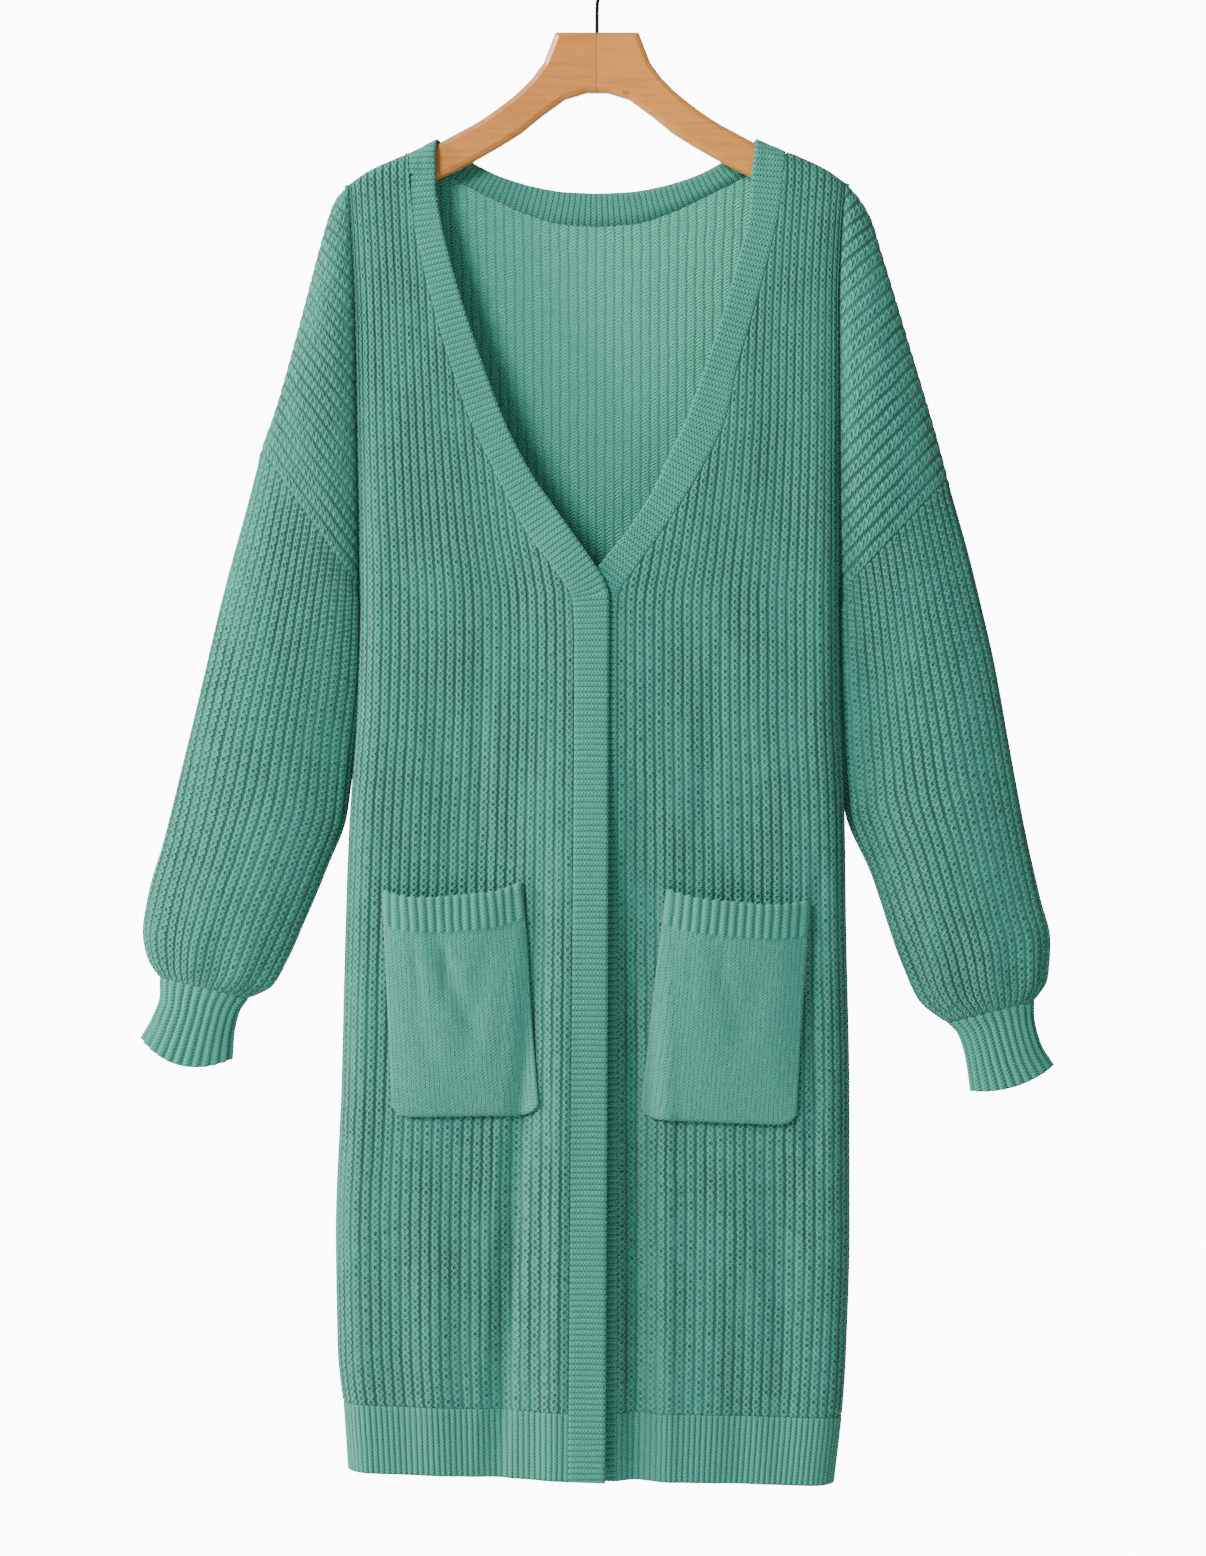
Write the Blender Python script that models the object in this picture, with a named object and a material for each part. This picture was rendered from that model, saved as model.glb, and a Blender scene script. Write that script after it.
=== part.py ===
"""A chunky-knit duster cardigan hanging on a wooden hanger.

Every size below is in millimetres, and MM turns it into metres. X is to the right as the front is
seen, the front faces -Y, Z is up. The origin is the inside of the hook's top, where a rail would be.
Right and left in the pieces' names are the wearer's, so right is at -X.
"""
import math

import bmesh
import bpy
import numpy as np

MM = 0.001
GARMENT = "duster_cardigan"

# Cloth and seams
WALL = 3.0
SEAM = 0.4
NECK_SEAM = 0.6
WALE = 7.1
WALE_DEPTH = 1.1
OVERLAP = 3.8

# Body section: a crowned front and back that turn round to the side seams
CORNER = 20.0
CROWN = 0.1
TYPICAL_SIDE = 187.0
TYPICAL_DEPTH = 26.0
SHOULDER_ROUND = 14.0
SHOULDER_SHAPE = 2.6
WALES_LEAN = 0.3

# Drop shoulder and sleeve
ARMHOLE_DEPTH = 20.0
TUBE_SHAPE = 2.2
SHOULDER_WALES = 24
SLEEVE_WALES = 38
CUFF_RIBS = 24
CUFF_RIB_DEPTH = 1.0
CREASE_INSET = 4.5
SHOULDER_SWELL = 0.7

# Rows just below a panel's top: close where it turns over the shoulder, wider under the neck seam
SHOULDER_DROPS = np.array([0.0, 1.5, 5.0, SHOULDER_ROUND])
NECK_DROPS = np.array([0.0, 6.0, 10.0, SHOULDER_ROUND])
LOWER_ROWS = 7
STEEP_NECK = -330.0

# Shares of the way across a drop shoulder, outside and inside, and the rows down its inside
WING_SHARES = (0, 0.06, 0.25, 0.6, 0.9, 1)
WING_INNER_SHARES = (0, 0.12, 0.5, 0.88, 1)
WING_INNER_ROWS = 12

# Shares down the sleeves and cuffs where a row of points runs round, and points round their insides
SLEEVE_ROWS = (0, 0.16, 0.34, 0.52, 0.7, 0.86, 0.955, 1)
CUFF_ROWS = (0, 0.22, 0.6, 1)
TUBE_INNER_POINTS = 14

# Half-width and half-depth of a typical section, for spacing the ribs evenly round it
TYPICAL_SLEEVE = (66.0, 24.0)
TYPICAL_CUFF = (33.0, 15.0)

# Hem
HEM_SEAM = -1138.0
HEM_EDGE = -1189.5
HEM_TILT = -0.028
HEM_ROWS = (0.0, 0.5, 1.0)
HEM_COLUMNS = {"front": 14, "back": 16}
HEM_INNER_SHARES = (0, 0.25, 0.5, 0.7, 0.85, 0.93, 0.975, 1)

# Bands: heights of the rows down the straight front edge, and shares of the way round the neck
BAND_ROWS = (HEM_EDGE - 20, -1120, -1030, -930, -840, -750, -650, -560, -549, -540)
NECK_ROWS = (0, 0.1, 0.2, 0.3, 0.4, 0.5, 0.6, 0.7, 0.8, 0.87, 0.93, 0.96, 0.985, 1)
BAND_SHARES = (0.0, 0.5, 1.0)

# Pockets
POCKET_WALL = 2.4
POCKET_BULGE = 9.0
POCKET_CLEARANCE = 1.3
POCKET_RIBS = 15
POCKET_RIB_HEIGHT = 29.0
POCKET_RIB_DEPTH = 1.0
POCKET_FOOT_CORNER = 9.0
POCKET_RIB_START = 0.02
POCKET_ROWS = 6
POCKET_INNER_COLUMNS = 10

# Hanger
HANGER_HALF_THICKNESS = 6.0
HANGER_ROUNDING = 4.0
HANGER_TIP = 184.0
HANGER_TIP_LENGTH = 9.0
NECK_OF_HANGER = (32.0, 123.0)
ARM_CLEARANCE = 1.8
TIP_CLEARANCE = 0.8
TIP_CLEARANCE_FROM = 150.0
TIP_CLEARANCE_RUN = 25.0
HOOK_WIRE = 1.5
HOOK_RADIUS = 22.0
HEAD_TOP = -80.0
HOOK_SHANK = ((0, HEAD_TOP + 0.3), (0, -72), (0, -64), (0.3, -57), (1.5, -50), (3.5, -45))
HOOK_TURN = (-75, 200)

GREEN = (0.115, 0.405, 0.292)
GREEN_BAND = (0.13, 0.43, 0.315)
WOOD = (0.72, 0.38, 0.17)
BLACK = (0.012, 0.012, 0.013)


class Table:
    """Rows of named columns, read along the first one on a smooth curve with no overshoot."""

    def __init__(self, names, *rows):
        self.names = names.split()
        self.rows = np.array(sorted(rows), float)

    def __call__(self, name, at):
        key = self.rows[:, 0]
        value = self.rows[:, self.names.index(name)]
        step = np.diff(key)
        rise = np.diff(value) / step
        product = rise[1:] * rise[:-1]
        total = rise[1:] + rise[:-1]
        inner = np.where(product > 0, 2 * product / np.where(product > 0, total, 1), 0)
        slope = np.concatenate([rise[:1], inner, rise[-1:]])
        at = np.clip(np.asarray(at, float), key[0], key[-1])
        i = np.clip(np.searchsorted(key, at) - 1, 0, len(step) - 1)
        h = step[i]
        s = (at - key[i]) / h
        start = (1 + 2 * s) * (1 - s) ** 2 * value[i] + s * (1 - s) ** 2 * h * slope[i]
        end = s * s * (3 - 2 * s) * value[i + 1] - s * s * (1 - s) * h * slope[i + 1]
        return start + end


# Half-widths and depths of the body at each height, measured from the plane of the side seams
BODY = Table(
    "height left right front back",
    (-196, 191, 191, 12.5, 12.5),
    (-245, 188, 187.5, 17, 16),
    (-290, 186, 186, 20, 18),
    (-400, 184, 186, 25, 22),
    (-510, 182.5, 186.5, 28, 24),
    (-594, 184, 187, 29, 25),
    (-689, 190.6, 190.8, 29, 25),
    (-765, 193.5, 191.8, 29, 25),
    (-893, 196.8, 194.3, 29, 25),
    (-1000, 201, 194.5, 30, 26),
    (-1094, 199.5, 191.8, 30, 26),
    (-1138, 195, 189, 29, 25),
    (-1196, 191, 182.5, 30, 26),
)

# The shoulder line, from the middle out; inside the neck it only carries the slope on
SHOULDER = Table(
    "across left right",
    (0, -108, -107),
    (60, -134, -133),
    (123, -162, -161.5),
    (147, -173.5, -171.8),
    (176, -186.7, -185.2),
    (191, -197, -195.5),
)

# Outline of each drop shoulder, from the hanger's tip to the top of the armhole seam
OUTLINE = Table(
    "share left left_height right right_height",
    (0, 191, -197, 191, -195.5),
    (0.074, 201.7, -208.9, 202.2, -207.7),
    (0.147, 207.4, -223.6, 211.1, -223.1),
    (0.246, 213.3, -244, 218.4, -246.1),
    (0.592, 232.5, -316.4, 242.8, -327),
    (0.852, 247.9, -370.3, 260.9, -387.8),
    (1, 258.7, -400.3, 270.3, -422.7),
)

# Depth of the crease between body and drop shoulder, from the hanger's tip to the underarm
CREASE = Table("share depth", (0, 9), (0.3, 11), (0.65, 9.5), (0.86, 6), (1, 0))

# Heights of the two ends of that crease on each side
CREASE_ENDS = {-1: (-197.0, -507.4), 1: (-195.5, -513.5)}

# Front bands: across places of the edge sewn to the panel and of the free edge
BAND_RIGHT = Table(
    "height seam free",
    (-161, -145, -124.1),
    (-195, -143, -124.1),
    (-229, -139.6, -119),
    (-265, -131.8, -110.2),
    (-313, -118.7, -95.4),
    (-378, -96.9, -71.8),
    (-421, -76.4, -50.1),
    (-442, -66, -35.8),
    (-466, -52.6, -18.8),
    (-491.7, -33.4, -1),
    (-503, -25.3, 5.7),
    (-516, -18.2, 9.2),
    (-531, -16.7, 9.3),
    (-547, -16.2, 9.2),
    (-900, -18.5, 8),
    (-1196, -21, 6.2),
)
BAND_LEFT = Table(
    "height seam free",
    (-161, 145, 122.5),
    (-189, 142.9, 118.8),
    (-218, 139.2, 117),
    (-257, 130.2, 107.8),
    (-296, 119.5, 97),
    (-343, 106, 81.2),
    (-378, 98, 68.5),
    (-413, 81.5, 52),
    (-433, 70, 43),
    (-464, 49.5, 23.6),
    (-492, 29.7, 0.9),
    (-515, 15.4, -15.2),
    (-531, 14.6, -15.5),
    (-1196, 14.6, -15.5),
)
BANDS = {-1: BAND_RIGHT, 1: BAND_LEFT}
V_POINT = {-1: -531.0, 1: -515.0}
NECK_CORNER = 145.0

# Band round the back of the neck, from its middle to the shoulder seam
NECK = Table(
    "share free free_height seam seam_height",
    (0, 0, -201.9, 0, -226.6),
    (0.2, 24, -200.8, 28, -224.8),
    (0.4, 49, -196.7, 55, -217.2),
    (0.6, 73, -189.7, 81, -205.5),
    (0.8, 96, -178.5, 108, -192.3),
    (1, 123, -161.0, NECK_CORNER, -171.5),
)

# Sleeves: outer and inner edge of each section, its half-depth and how far back it hangs
SLEEVES = {
    -1: Table(
        "share outer outer_height inner inner_height depth back",
        (0, 258.7, -400.3, 182.5, -507.4, ARMHOLE_DEPTH, 0),
        (0.13, 272.6, -455, 183.4, -538.2, 22, 2),
        (0.28, 288.8, -516.6, 184.6, -578.2, 24, 4),
        (0.44, 305.7, -582.1, 188.6, -628.3, 25, 5),
        (0.6, 322.6, -647.5, 192.3, -682.2, 26, 4),
        (0.74, 336.5, -705.3, 207.9, -726.8, 27, 3),
        (0.83, 345.7, -739.9, 224.1, -763.8, 26, 2),
        (0.91, 350, -772.2, 238.7, -796.1, 24, 1),
        (0.96, 346.5, -791.5, 251, -815.4, 20, 0),
        (1, 337.3, -806.9, 267.2, -823.1, 15, 0),
    ),
    1: Table(
        "share outer outer_height inner inner_height depth back",
        (0, 270.3, -422.7, 186.6, -513.5, ARMHOLE_DEPTH, 0),
        (0.13, 282.6, -466.6, 188, -547.4, 22, 2),
        (0.26, 295.7, -520.5, 188.8, -589.8, 24, 4),
        (0.39, 307.2, -566.7, 189.6, -632.1, 25, 5),
        (0.54, 319.6, -628.3, 191.9, -679.1, 26, 4),
        (0.7, 333.4, -701.4, 210.2, -729.1, 27, 3),
        (0.82, 342.7, -747.6, 224.8, -771.5, 26, 2),
        (0.9, 348.8, -778.4, 234.9, -799.2, 24, 1),
        (0.96, 346.5, -808.4, 247.2, -825.4, 20, 0),
        (1, 337.3, -824.6, 268.7, -842.3, 15, 0),
    ),
}
CUFFS = {
    -1: Table(
        "share outer outer_height inner inner_height depth sag",
        (0, 337.3, -806.9, 267.2, -823.1, 15, 0),
        (0.22, 336.9, -819.2, 274.9, -834.6, 14, 3),
        (0.6, 342.7, -836.9, 278.7, -851.6, 15, 8),
        (1, 351.9, -853.1, 279.9, -870, 16, 13),
    ),
    1: Table(
        "share outer outer_height inner inner_height depth sag",
        (0, 337.3, -824.6, 268.7, -842.3, 15, 0),
        (0.2, 336.9, -834.6, 277.2, -850.8, 14, 1),
        (0.6, 341.9, -856.9, 283.4, -870.8, 15, 3),
        (1, 352.2, -873.9, 286.7, -894.7, 16, 6),
    ),
}

# Patch pockets: places of the four corners and how far the middle of the top edge sags
POCKETS = {
    -1: {"left_top": (-164, -739.5), "right_top": (-56.2, -733), "left_foot": (-156.3, -912.5),
         "right_foot": (-43.1, -911), "sag": 8.0},
    1: {"left_top": (52.4, -738.4), "right_top": (161.7, -747.6), "left_foot": (35.4, -914),
        "right_foot": (152.5, -919), "sag": 6.0},
}

# Largest folds: a line down the cloth, half-width and depth of each trough, or ridge if negative
FOLD_NAMES = ("face", "top", "foot", "top_height", "foot_height", "half_width", "depth")
FOLDS = (
    ("front", -40, -88, -690, -1290, 17, 6.0),
    ("front", -26, -38, -760, -1290, 14, -2.5),
    ("front", 25, 27, -690, -1300, 14, 7.0),
    ("front", 46, 50, -740, -1300, 17, -3.0),
    ("front", 170, 164, -700, -960, 11, 4.0),
    ("front", -128, -122, -960, -1290, 26, -3.0),
    ("front", 112, 108, -1020, -1300, 24, 3.0),
    ("front", -118, -96, -560, -760, 30, 2.5),
    ("back", -92, -104, -420, -1290, 34, 5.0),
    ("back", -18, -10, -520, -1290, 30, -4.0),
    ("back", 62, 78, -460, -1290, 36, 5.5),
    ("back", 138, 132, -640, -1290, 24, 3.5),
)

# How soon a fold reaches its depth from either end; a smaller power is sooner
FOLD_FADE = 0.8

# Hanger outline: heights of its upper and lower edges, from the middle out
HANGER_TOP = Table(
    "across height",
    (32, HEAD_TOP), (39.6, -100.8), (50, -115.5), (65.5, -130.2), (93.6, -150.2), (108, -157.8),
    (123, -166.2),
)
HANGER_FOOT = Table(
    "across height",
    (0, -125.9), (15.9, -128), (28.8, -134.5), (59, -158.3), (95.8, -180), (122.8, -193.5),
    (150, -205), (179, -216),
)


def side_name(side):
    return {-1: "left", 1: "right"}[side]


def per_side(table, x, at):
    """A table's left or right column, by the sign of x."""
    return np.where(np.asarray(x) < 0, table("left", at), table("right", at))


def shoulder_height(x):
    return per_side(SHOULDER, x, np.abs(x))


def crease_depth(x, z):
    tips = np.where(np.asarray(x) < 0, CREASE_ENDS[-1][0], CREASE_ENDS[1][0])
    ends = np.where(np.asarray(x) < 0, CREASE_ENDS[-1][1], CREASE_ENDS[1][1])
    return CREASE("depth", np.clip((tips - z) / (tips - ends), 0, 1))


def fold_depth(face, x, z):
    total = np.zeros(np.broadcast(x, z).shape)
    for row in FOLDS:
        fold = dict(zip(FOLD_NAMES, row))
        if fold["face"] != face:
            continue
        run = (fold["top_height"] - z) / (fold["top_height"] - fold["foot_height"])
        middle = fold["top"] + (fold["foot"] - fold["top"]) * run
        along = np.sin(np.pi * np.clip(run, 0, 1)) ** FOLD_FADE
        across = np.clip(np.abs(x - middle) / fold["half_width"], 0, 1)
        total = total + fold["depth"] * along * (0.5 + 0.5 * np.cos(np.pi * across))
    return total


def body_depth(face, x, z):
    """How far the cloth of the body stands from the plane of the side seams."""
    side = per_side(BODY, x, z)
    reach = np.clip((np.abs(x) - side + CORNER) / CORNER, 0, 1)
    rounded = np.sqrt(1 - reach ** 2)
    edge = crease_depth(x, z)
    full = BODY(face, z) * (1 - CROWN * (x / side) ** 2) - fold_depth(face, x, z)
    drop = np.clip((shoulder_height(x) - z) / SHOULDER_ROUND, 0, 1)
    over = (1 - (1 - drop) ** SHOULDER_SHAPE) ** (1 / SHOULDER_SHAPE)
    return SEAM / 2 + over * (edge + (full - edge) * rounded)


def ease(share):
    share = np.clip(share, 0, 1)
    return share * share * (3 - 2 * share)


def right_front_lift(x, z):
    """The wearer's right front stands forward near the middle, where it laps over the left one."""
    return OVERLAP * ease((x + 75) / 57) * ease((-400 - z) / 80)


def body_surface(face, lapped=False):
    """The outside of the body's cloth as a function of place across and height."""
    sign = {"front": -1, "back": 1}[face]

    def depth(x, z):
        lift = right_front_lift(x, z) if lapped else 0
        return body_depth(face, x, z) + lift

    def point(x, z):
        x, z = np.broadcast_arrays(np.asarray(x, float), np.asarray(z, float))
        return np.stack([x, sign * depth(x, z), z], -1)

    def normal(x, z):
        small = 0.05
        x, z = np.broadcast_arrays(np.asarray(x, float), np.asarray(z, float))
        x = np.sign(x) * np.minimum(np.abs(x), per_side(BODY, x, z) - small / 2)
        inward = np.where(x < 0, -small, small)
        here = depth(x, z)
        slope_x = (here - depth(x - inward, z)) / inward
        slope_z = (here - depth(x, z - small)) / small
        out = np.stack([-slope_x, sign * np.ones_like(x), -slope_z], -1)
        return out / np.linalg.norm(out, axis=-1, keepdims=True)

    return point, normal


def even_shares(start, count):
    """Shares of the way from start to the side seam, at even steps along the cloth."""
    turn = np.linspace(0, math.pi / 2, 60)
    across = np.concatenate([[start], TYPICAL_SIDE - CORNER + CORNER * np.sin(turn)])
    out = np.concatenate([[TYPICAL_DEPTH], TYPICAL_DEPTH * np.cos(turn)])
    length = np.concatenate([[0], np.cumsum(np.hypot(np.diff(across), np.diff(out)))])
    places = np.interp(np.linspace(0, length[-1], count + 1), length, across)
    return (places - start) / (TYPICAL_SIDE - start)


def wale_count(start):
    """Half wales between start and the side seam, an even number."""
    turn = np.linspace(0, math.pi / 2, 60)
    corner = np.sum(np.hypot(np.diff(CORNER * np.sin(turn)), np.diff(TYPICAL_DEPTH * np.cos(turn))))
    return 2 * round((TYPICAL_SIDE - CORNER - start + corner) / WALE)


class Cloth:
    """Triangles of one piece, sewn up into a closed wall."""

    def __init__(self):
        self.points = []
        self.faces = []

    def between(self, first, second):
        """Triangles between two lines of points. A line is (rising shares, points)."""
        start = len(self.points)
        self.points.extend(first[1])
        self.points.extend(second[1])
        middle = start + len(first[1])
        i = j = 0
        while i < len(first[1]) - 1 or j < len(second[1]) - 1:
            along_first = j == len(second[1]) - 1
            if not along_first and i < len(first[1]) - 1:
                along_first = first[0][i + 1] <= second[0][j + 1]
            if along_first:
                self.faces.append((start + i, start + i + 1, middle + j))
                i += 1
            else:
                self.faces.append((start + i, middle + j + 1, middle + j))
                j += 1

    def sheet(self, lines):
        for first, second in zip(lines, lines[1:]):
            self.between(first, second)

    def make(self, name, colour, sharp=50):
        mesh = bpy.data.meshes.new(name)
        mesh.from_pydata([tuple(p * MM) for p in self.points], [], self.faces)
        solid = bmesh.new()
        solid.from_mesh(mesh)
        bmesh.ops.remove_doubles(solid, verts=solid.verts, dist=0.01 * MM)
        bmesh.ops.dissolve_degenerate(solid, edges=solid.edges, dist=0.005 * MM)
        bmesh.ops.triangulate(solid, faces=solid.faces)
        bmesh.ops.recalc_face_normals(solid, faces=solid.faces)
        solid.to_mesh(mesh)
        solid.free()
        mesh.shade_smooth()
        mesh.set_sharp_from_angle(angle=math.radians(sharp))
        return place(name, mesh, colour)


def material(name, colour, roughness=0.95, metallic=0.0):
    made = bpy.data.materials.new(name)
    made.use_nodes = True
    shader = made.node_tree.nodes["Principled BSDF"]
    shader.inputs["Base Color"].default_value = (*colour, 1)
    shader.inputs["Roughness"].default_value = roughness
    shader.inputs["Metallic"].default_value = metallic
    return made


def place(name, data, colour, roughness=0.95, metallic=0.0):
    thing = bpy.data.objects.new(name, data)
    data.materials.append(material(name + "_finish", colour, roughness, metallic))
    bpy.data.collections[GARMENT].objects.link(thing)
    return thing


def line(shares, points):
    return list(shares), [np.array(p, float) for p in points]


def ridges(count, depth):
    """Relief of each half rib: a ridge at 0, a furrow below it, and level at both ends."""
    relief = np.where(np.arange(count + 1) % 2 == 1, -depth, 0.0)
    relief[0] = relief[-1] = 0
    return relief


class Shoulder:
    """One face of a drop shoulder, between the crease beside the body and its own outline."""

    def __init__(self, face, side):
        self.sign = {"front": -1, "back": 1}[face]
        self.side = side
        self.body = body_surface(face)[0]

    def crease(self, share):
        tip, underarm = CREASE_ENDS[self.side]
        height = tip + (underarm - tip) * np.asarray(share, float)
        name = side_name(self.side)
        to_tip = OUTLINE(name, 0) - BODY(name, tip)
        to_underarm = SLEEVES[self.side]("inner", 0) - BODY(name, underarm)
        across = BODY(name, height) + to_tip * (1 - share) + to_underarm * share
        return self.side * across, height

    def point(self, across, share):
        """across runs from the crease, 0, to the outline, 1; share from the tip to the armhole."""
        across, share = np.broadcast_arrays(np.asarray(across, float), np.asarray(share, float))
        crease_x, crease_z = self.crease(share)
        name = side_name(self.side)
        edge_x = self.side * OUTLINE(name, share)
        edge_z = OUTLINE(name + "_height", share)
        valley = np.abs(self.body(crease_x, crease_z)[..., 1])
        lobe = (1 - np.abs(2 * across - 1) ** TUBE_SHAPE) ** (1 / TUBE_SHAPE)
        fall = np.sqrt(1 - across ** 2)
        depth = SEAM / 2 + (valley - SEAM / 2) * fall + ARMHOLE_DEPTH * share ** SHOULDER_SWELL * lobe
        x = crease_x + (edge_x - crease_x) * across
        z = crease_z + (edge_z - crease_z) * across
        return np.stack([x, self.sign * depth, z], -1)

    def run(self, share):
        """Direction from the crease to the outline."""
        share = np.maximum(np.asarray(share, float), 0.05)
        step = self.point(1.0, share) - self.point(0.0, share)
        step[..., 1] = 0
        return step / np.linalg.norm(step, axis=-1, keepdims=True)

    def normal(self, across, share):
        if across == 1:
            return self.run(share)
        small = 0.001
        share = np.maximum(np.asarray(share, float), 0.02)
        low = np.clip(np.asarray(across, float) - small, 0, 1)
        high = np.clip(np.asarray(across, float) + small, 0, 1)
        step = self.point(high, share) - self.point(low, share)
        run = self.run(share)
        along = np.sum(step * run, -1)
        out = -self.sign * step[..., 1]
        normal = out[..., None] * run
        normal[..., 1] = self.sign * along
        return normal / np.linalg.norm(normal, axis=-1, keepdims=True)

    def inside_crease(self, share):
        """Inside of the crease: behind it, and above it where front and back meet at the underarm."""
        share = np.asarray(share, float)
        outer = self.point(0.0, share)
        room = np.abs(outer[..., 1]) - SEAM / 2
        back = np.clip(room, 0, CREASE_INSET)
        rest = np.sqrt(np.maximum(WALL ** 2 - np.minimum(back, WALL) ** 2, 0))
        inner = outer.copy()
        inner[..., 1] -= self.sign * back
        inner[..., 0] += np.where(share < 0.5, self.run(share)[..., 0] * -rest, 0)
        inner[..., 2] += np.where(share < 0.5, self.run(share)[..., 2] * -rest, rest)
        return inner


def front_columns(side):
    """Where each column of the front crosses a height, and the height of its top."""
    band = BANDS[side]
    point_height = V_POINT[side]

    def across(share, z):
        seam = np.abs(band("seam", z)) + NECK_SEAM
        start = np.abs(band("seam", point_height)) + NECK_SEAM
        inner = np.where(z > point_height, start + WALES_LEAN * (seam - start), seam)
        return side * (inner + (BODY(side_name(side), z) - inner) * share)

    climb = np.linspace(point_height, shoulder_height(side * NECK_CORNER), 120)
    start = np.abs(across(0.0, climb))
    seam = np.abs(band("seam", climb)) + NECK_SEAM
    neck_shares = np.maximum.accumulate((seam - start) / (BODY(side_name(side), climb) - start))
    out = np.linspace(NECK_CORNER + NECK_SEAM, OUTLINE(side_name(side), 0), 40)
    rise = shoulder_height(side * out)
    inner = np.abs(across(0.0, rise))
    shoulder_shares = (out - inner) / (OUTLINE(side_name(side), 0) - inner)
    shares = np.concatenate([neck_shares, shoulder_shares[1:]])
    heights = np.concatenate([climb, rise[1:]])

    def top(share):
        return np.interp(share, shares, heights)

    # A column at each half wale, and some more beside the neck's corner, where the cloth turns over
    even = even_shares(start[0], wale_count(start[0]))
    corner = np.interp(climb[-1] - SHOULDER_DROPS, climb, neck_shares)
    shares_out = np.unique(np.concatenate([even, corner]))
    relief = np.interp(shares_out, even, ridges(len(even) - 1, WALE_DEPTH))
    steep = even[(top(even) > STEEP_NECK) & (even < corner[0])]
    plain = np.unique(np.concatenate([even[:-1:4], steep, corner, [1.0]]))
    return across, top, shares_out, relief, plain


def back_columns(side):
    def across(share, z):
        return side * BODY(side_name(side), z) * share

    def top(share):
        shares = np.linspace(0, 1, 200)
        height = HEAD_TOP
        for _ in range(5):
            place = np.abs(across(share, height))
            neck = np.interp(place, NECK("seam", shares), NECK("seam_height", shares)) - NECK_SEAM
            height = np.minimum(np.where(place < NECK_CORNER, neck, 0), shoulder_height(side * place))
        return height

    even = even_shares(0.0, wale_count(0.0))
    return across, top, even, ridges(len(even) - 1, WALE_DEPTH), np.append(even[:-1:4], 1.0)


def hem_height(x):
    return HEM_SEAM + HEM_TILT * x


def edge_height(x):
    return HEM_EDGE + HEM_TILT * x


def panel_column(across, top, share):
    """Places and heights down one column of a panel, from the hem seam to its top."""
    high = top(share)
    foot_x = across(share, HEM_SEAM)
    below = np.clip((shoulder_height(across(share, high)) - high) / SHOULDER_ROUND, 0, 1)
    drops = SHOULDER_DROPS + (NECK_DROPS - SHOULDER_DROPS) * below
    lower = np.linspace(hem_height(foot_x), high - drops[-1], LOWER_ROWS + 1)
    heights = np.concatenate([lower, high - drops[-2::-1]])
    rows = np.linspace(0, 1, len(heights))
    return rows, across(share, heights), heights


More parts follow.
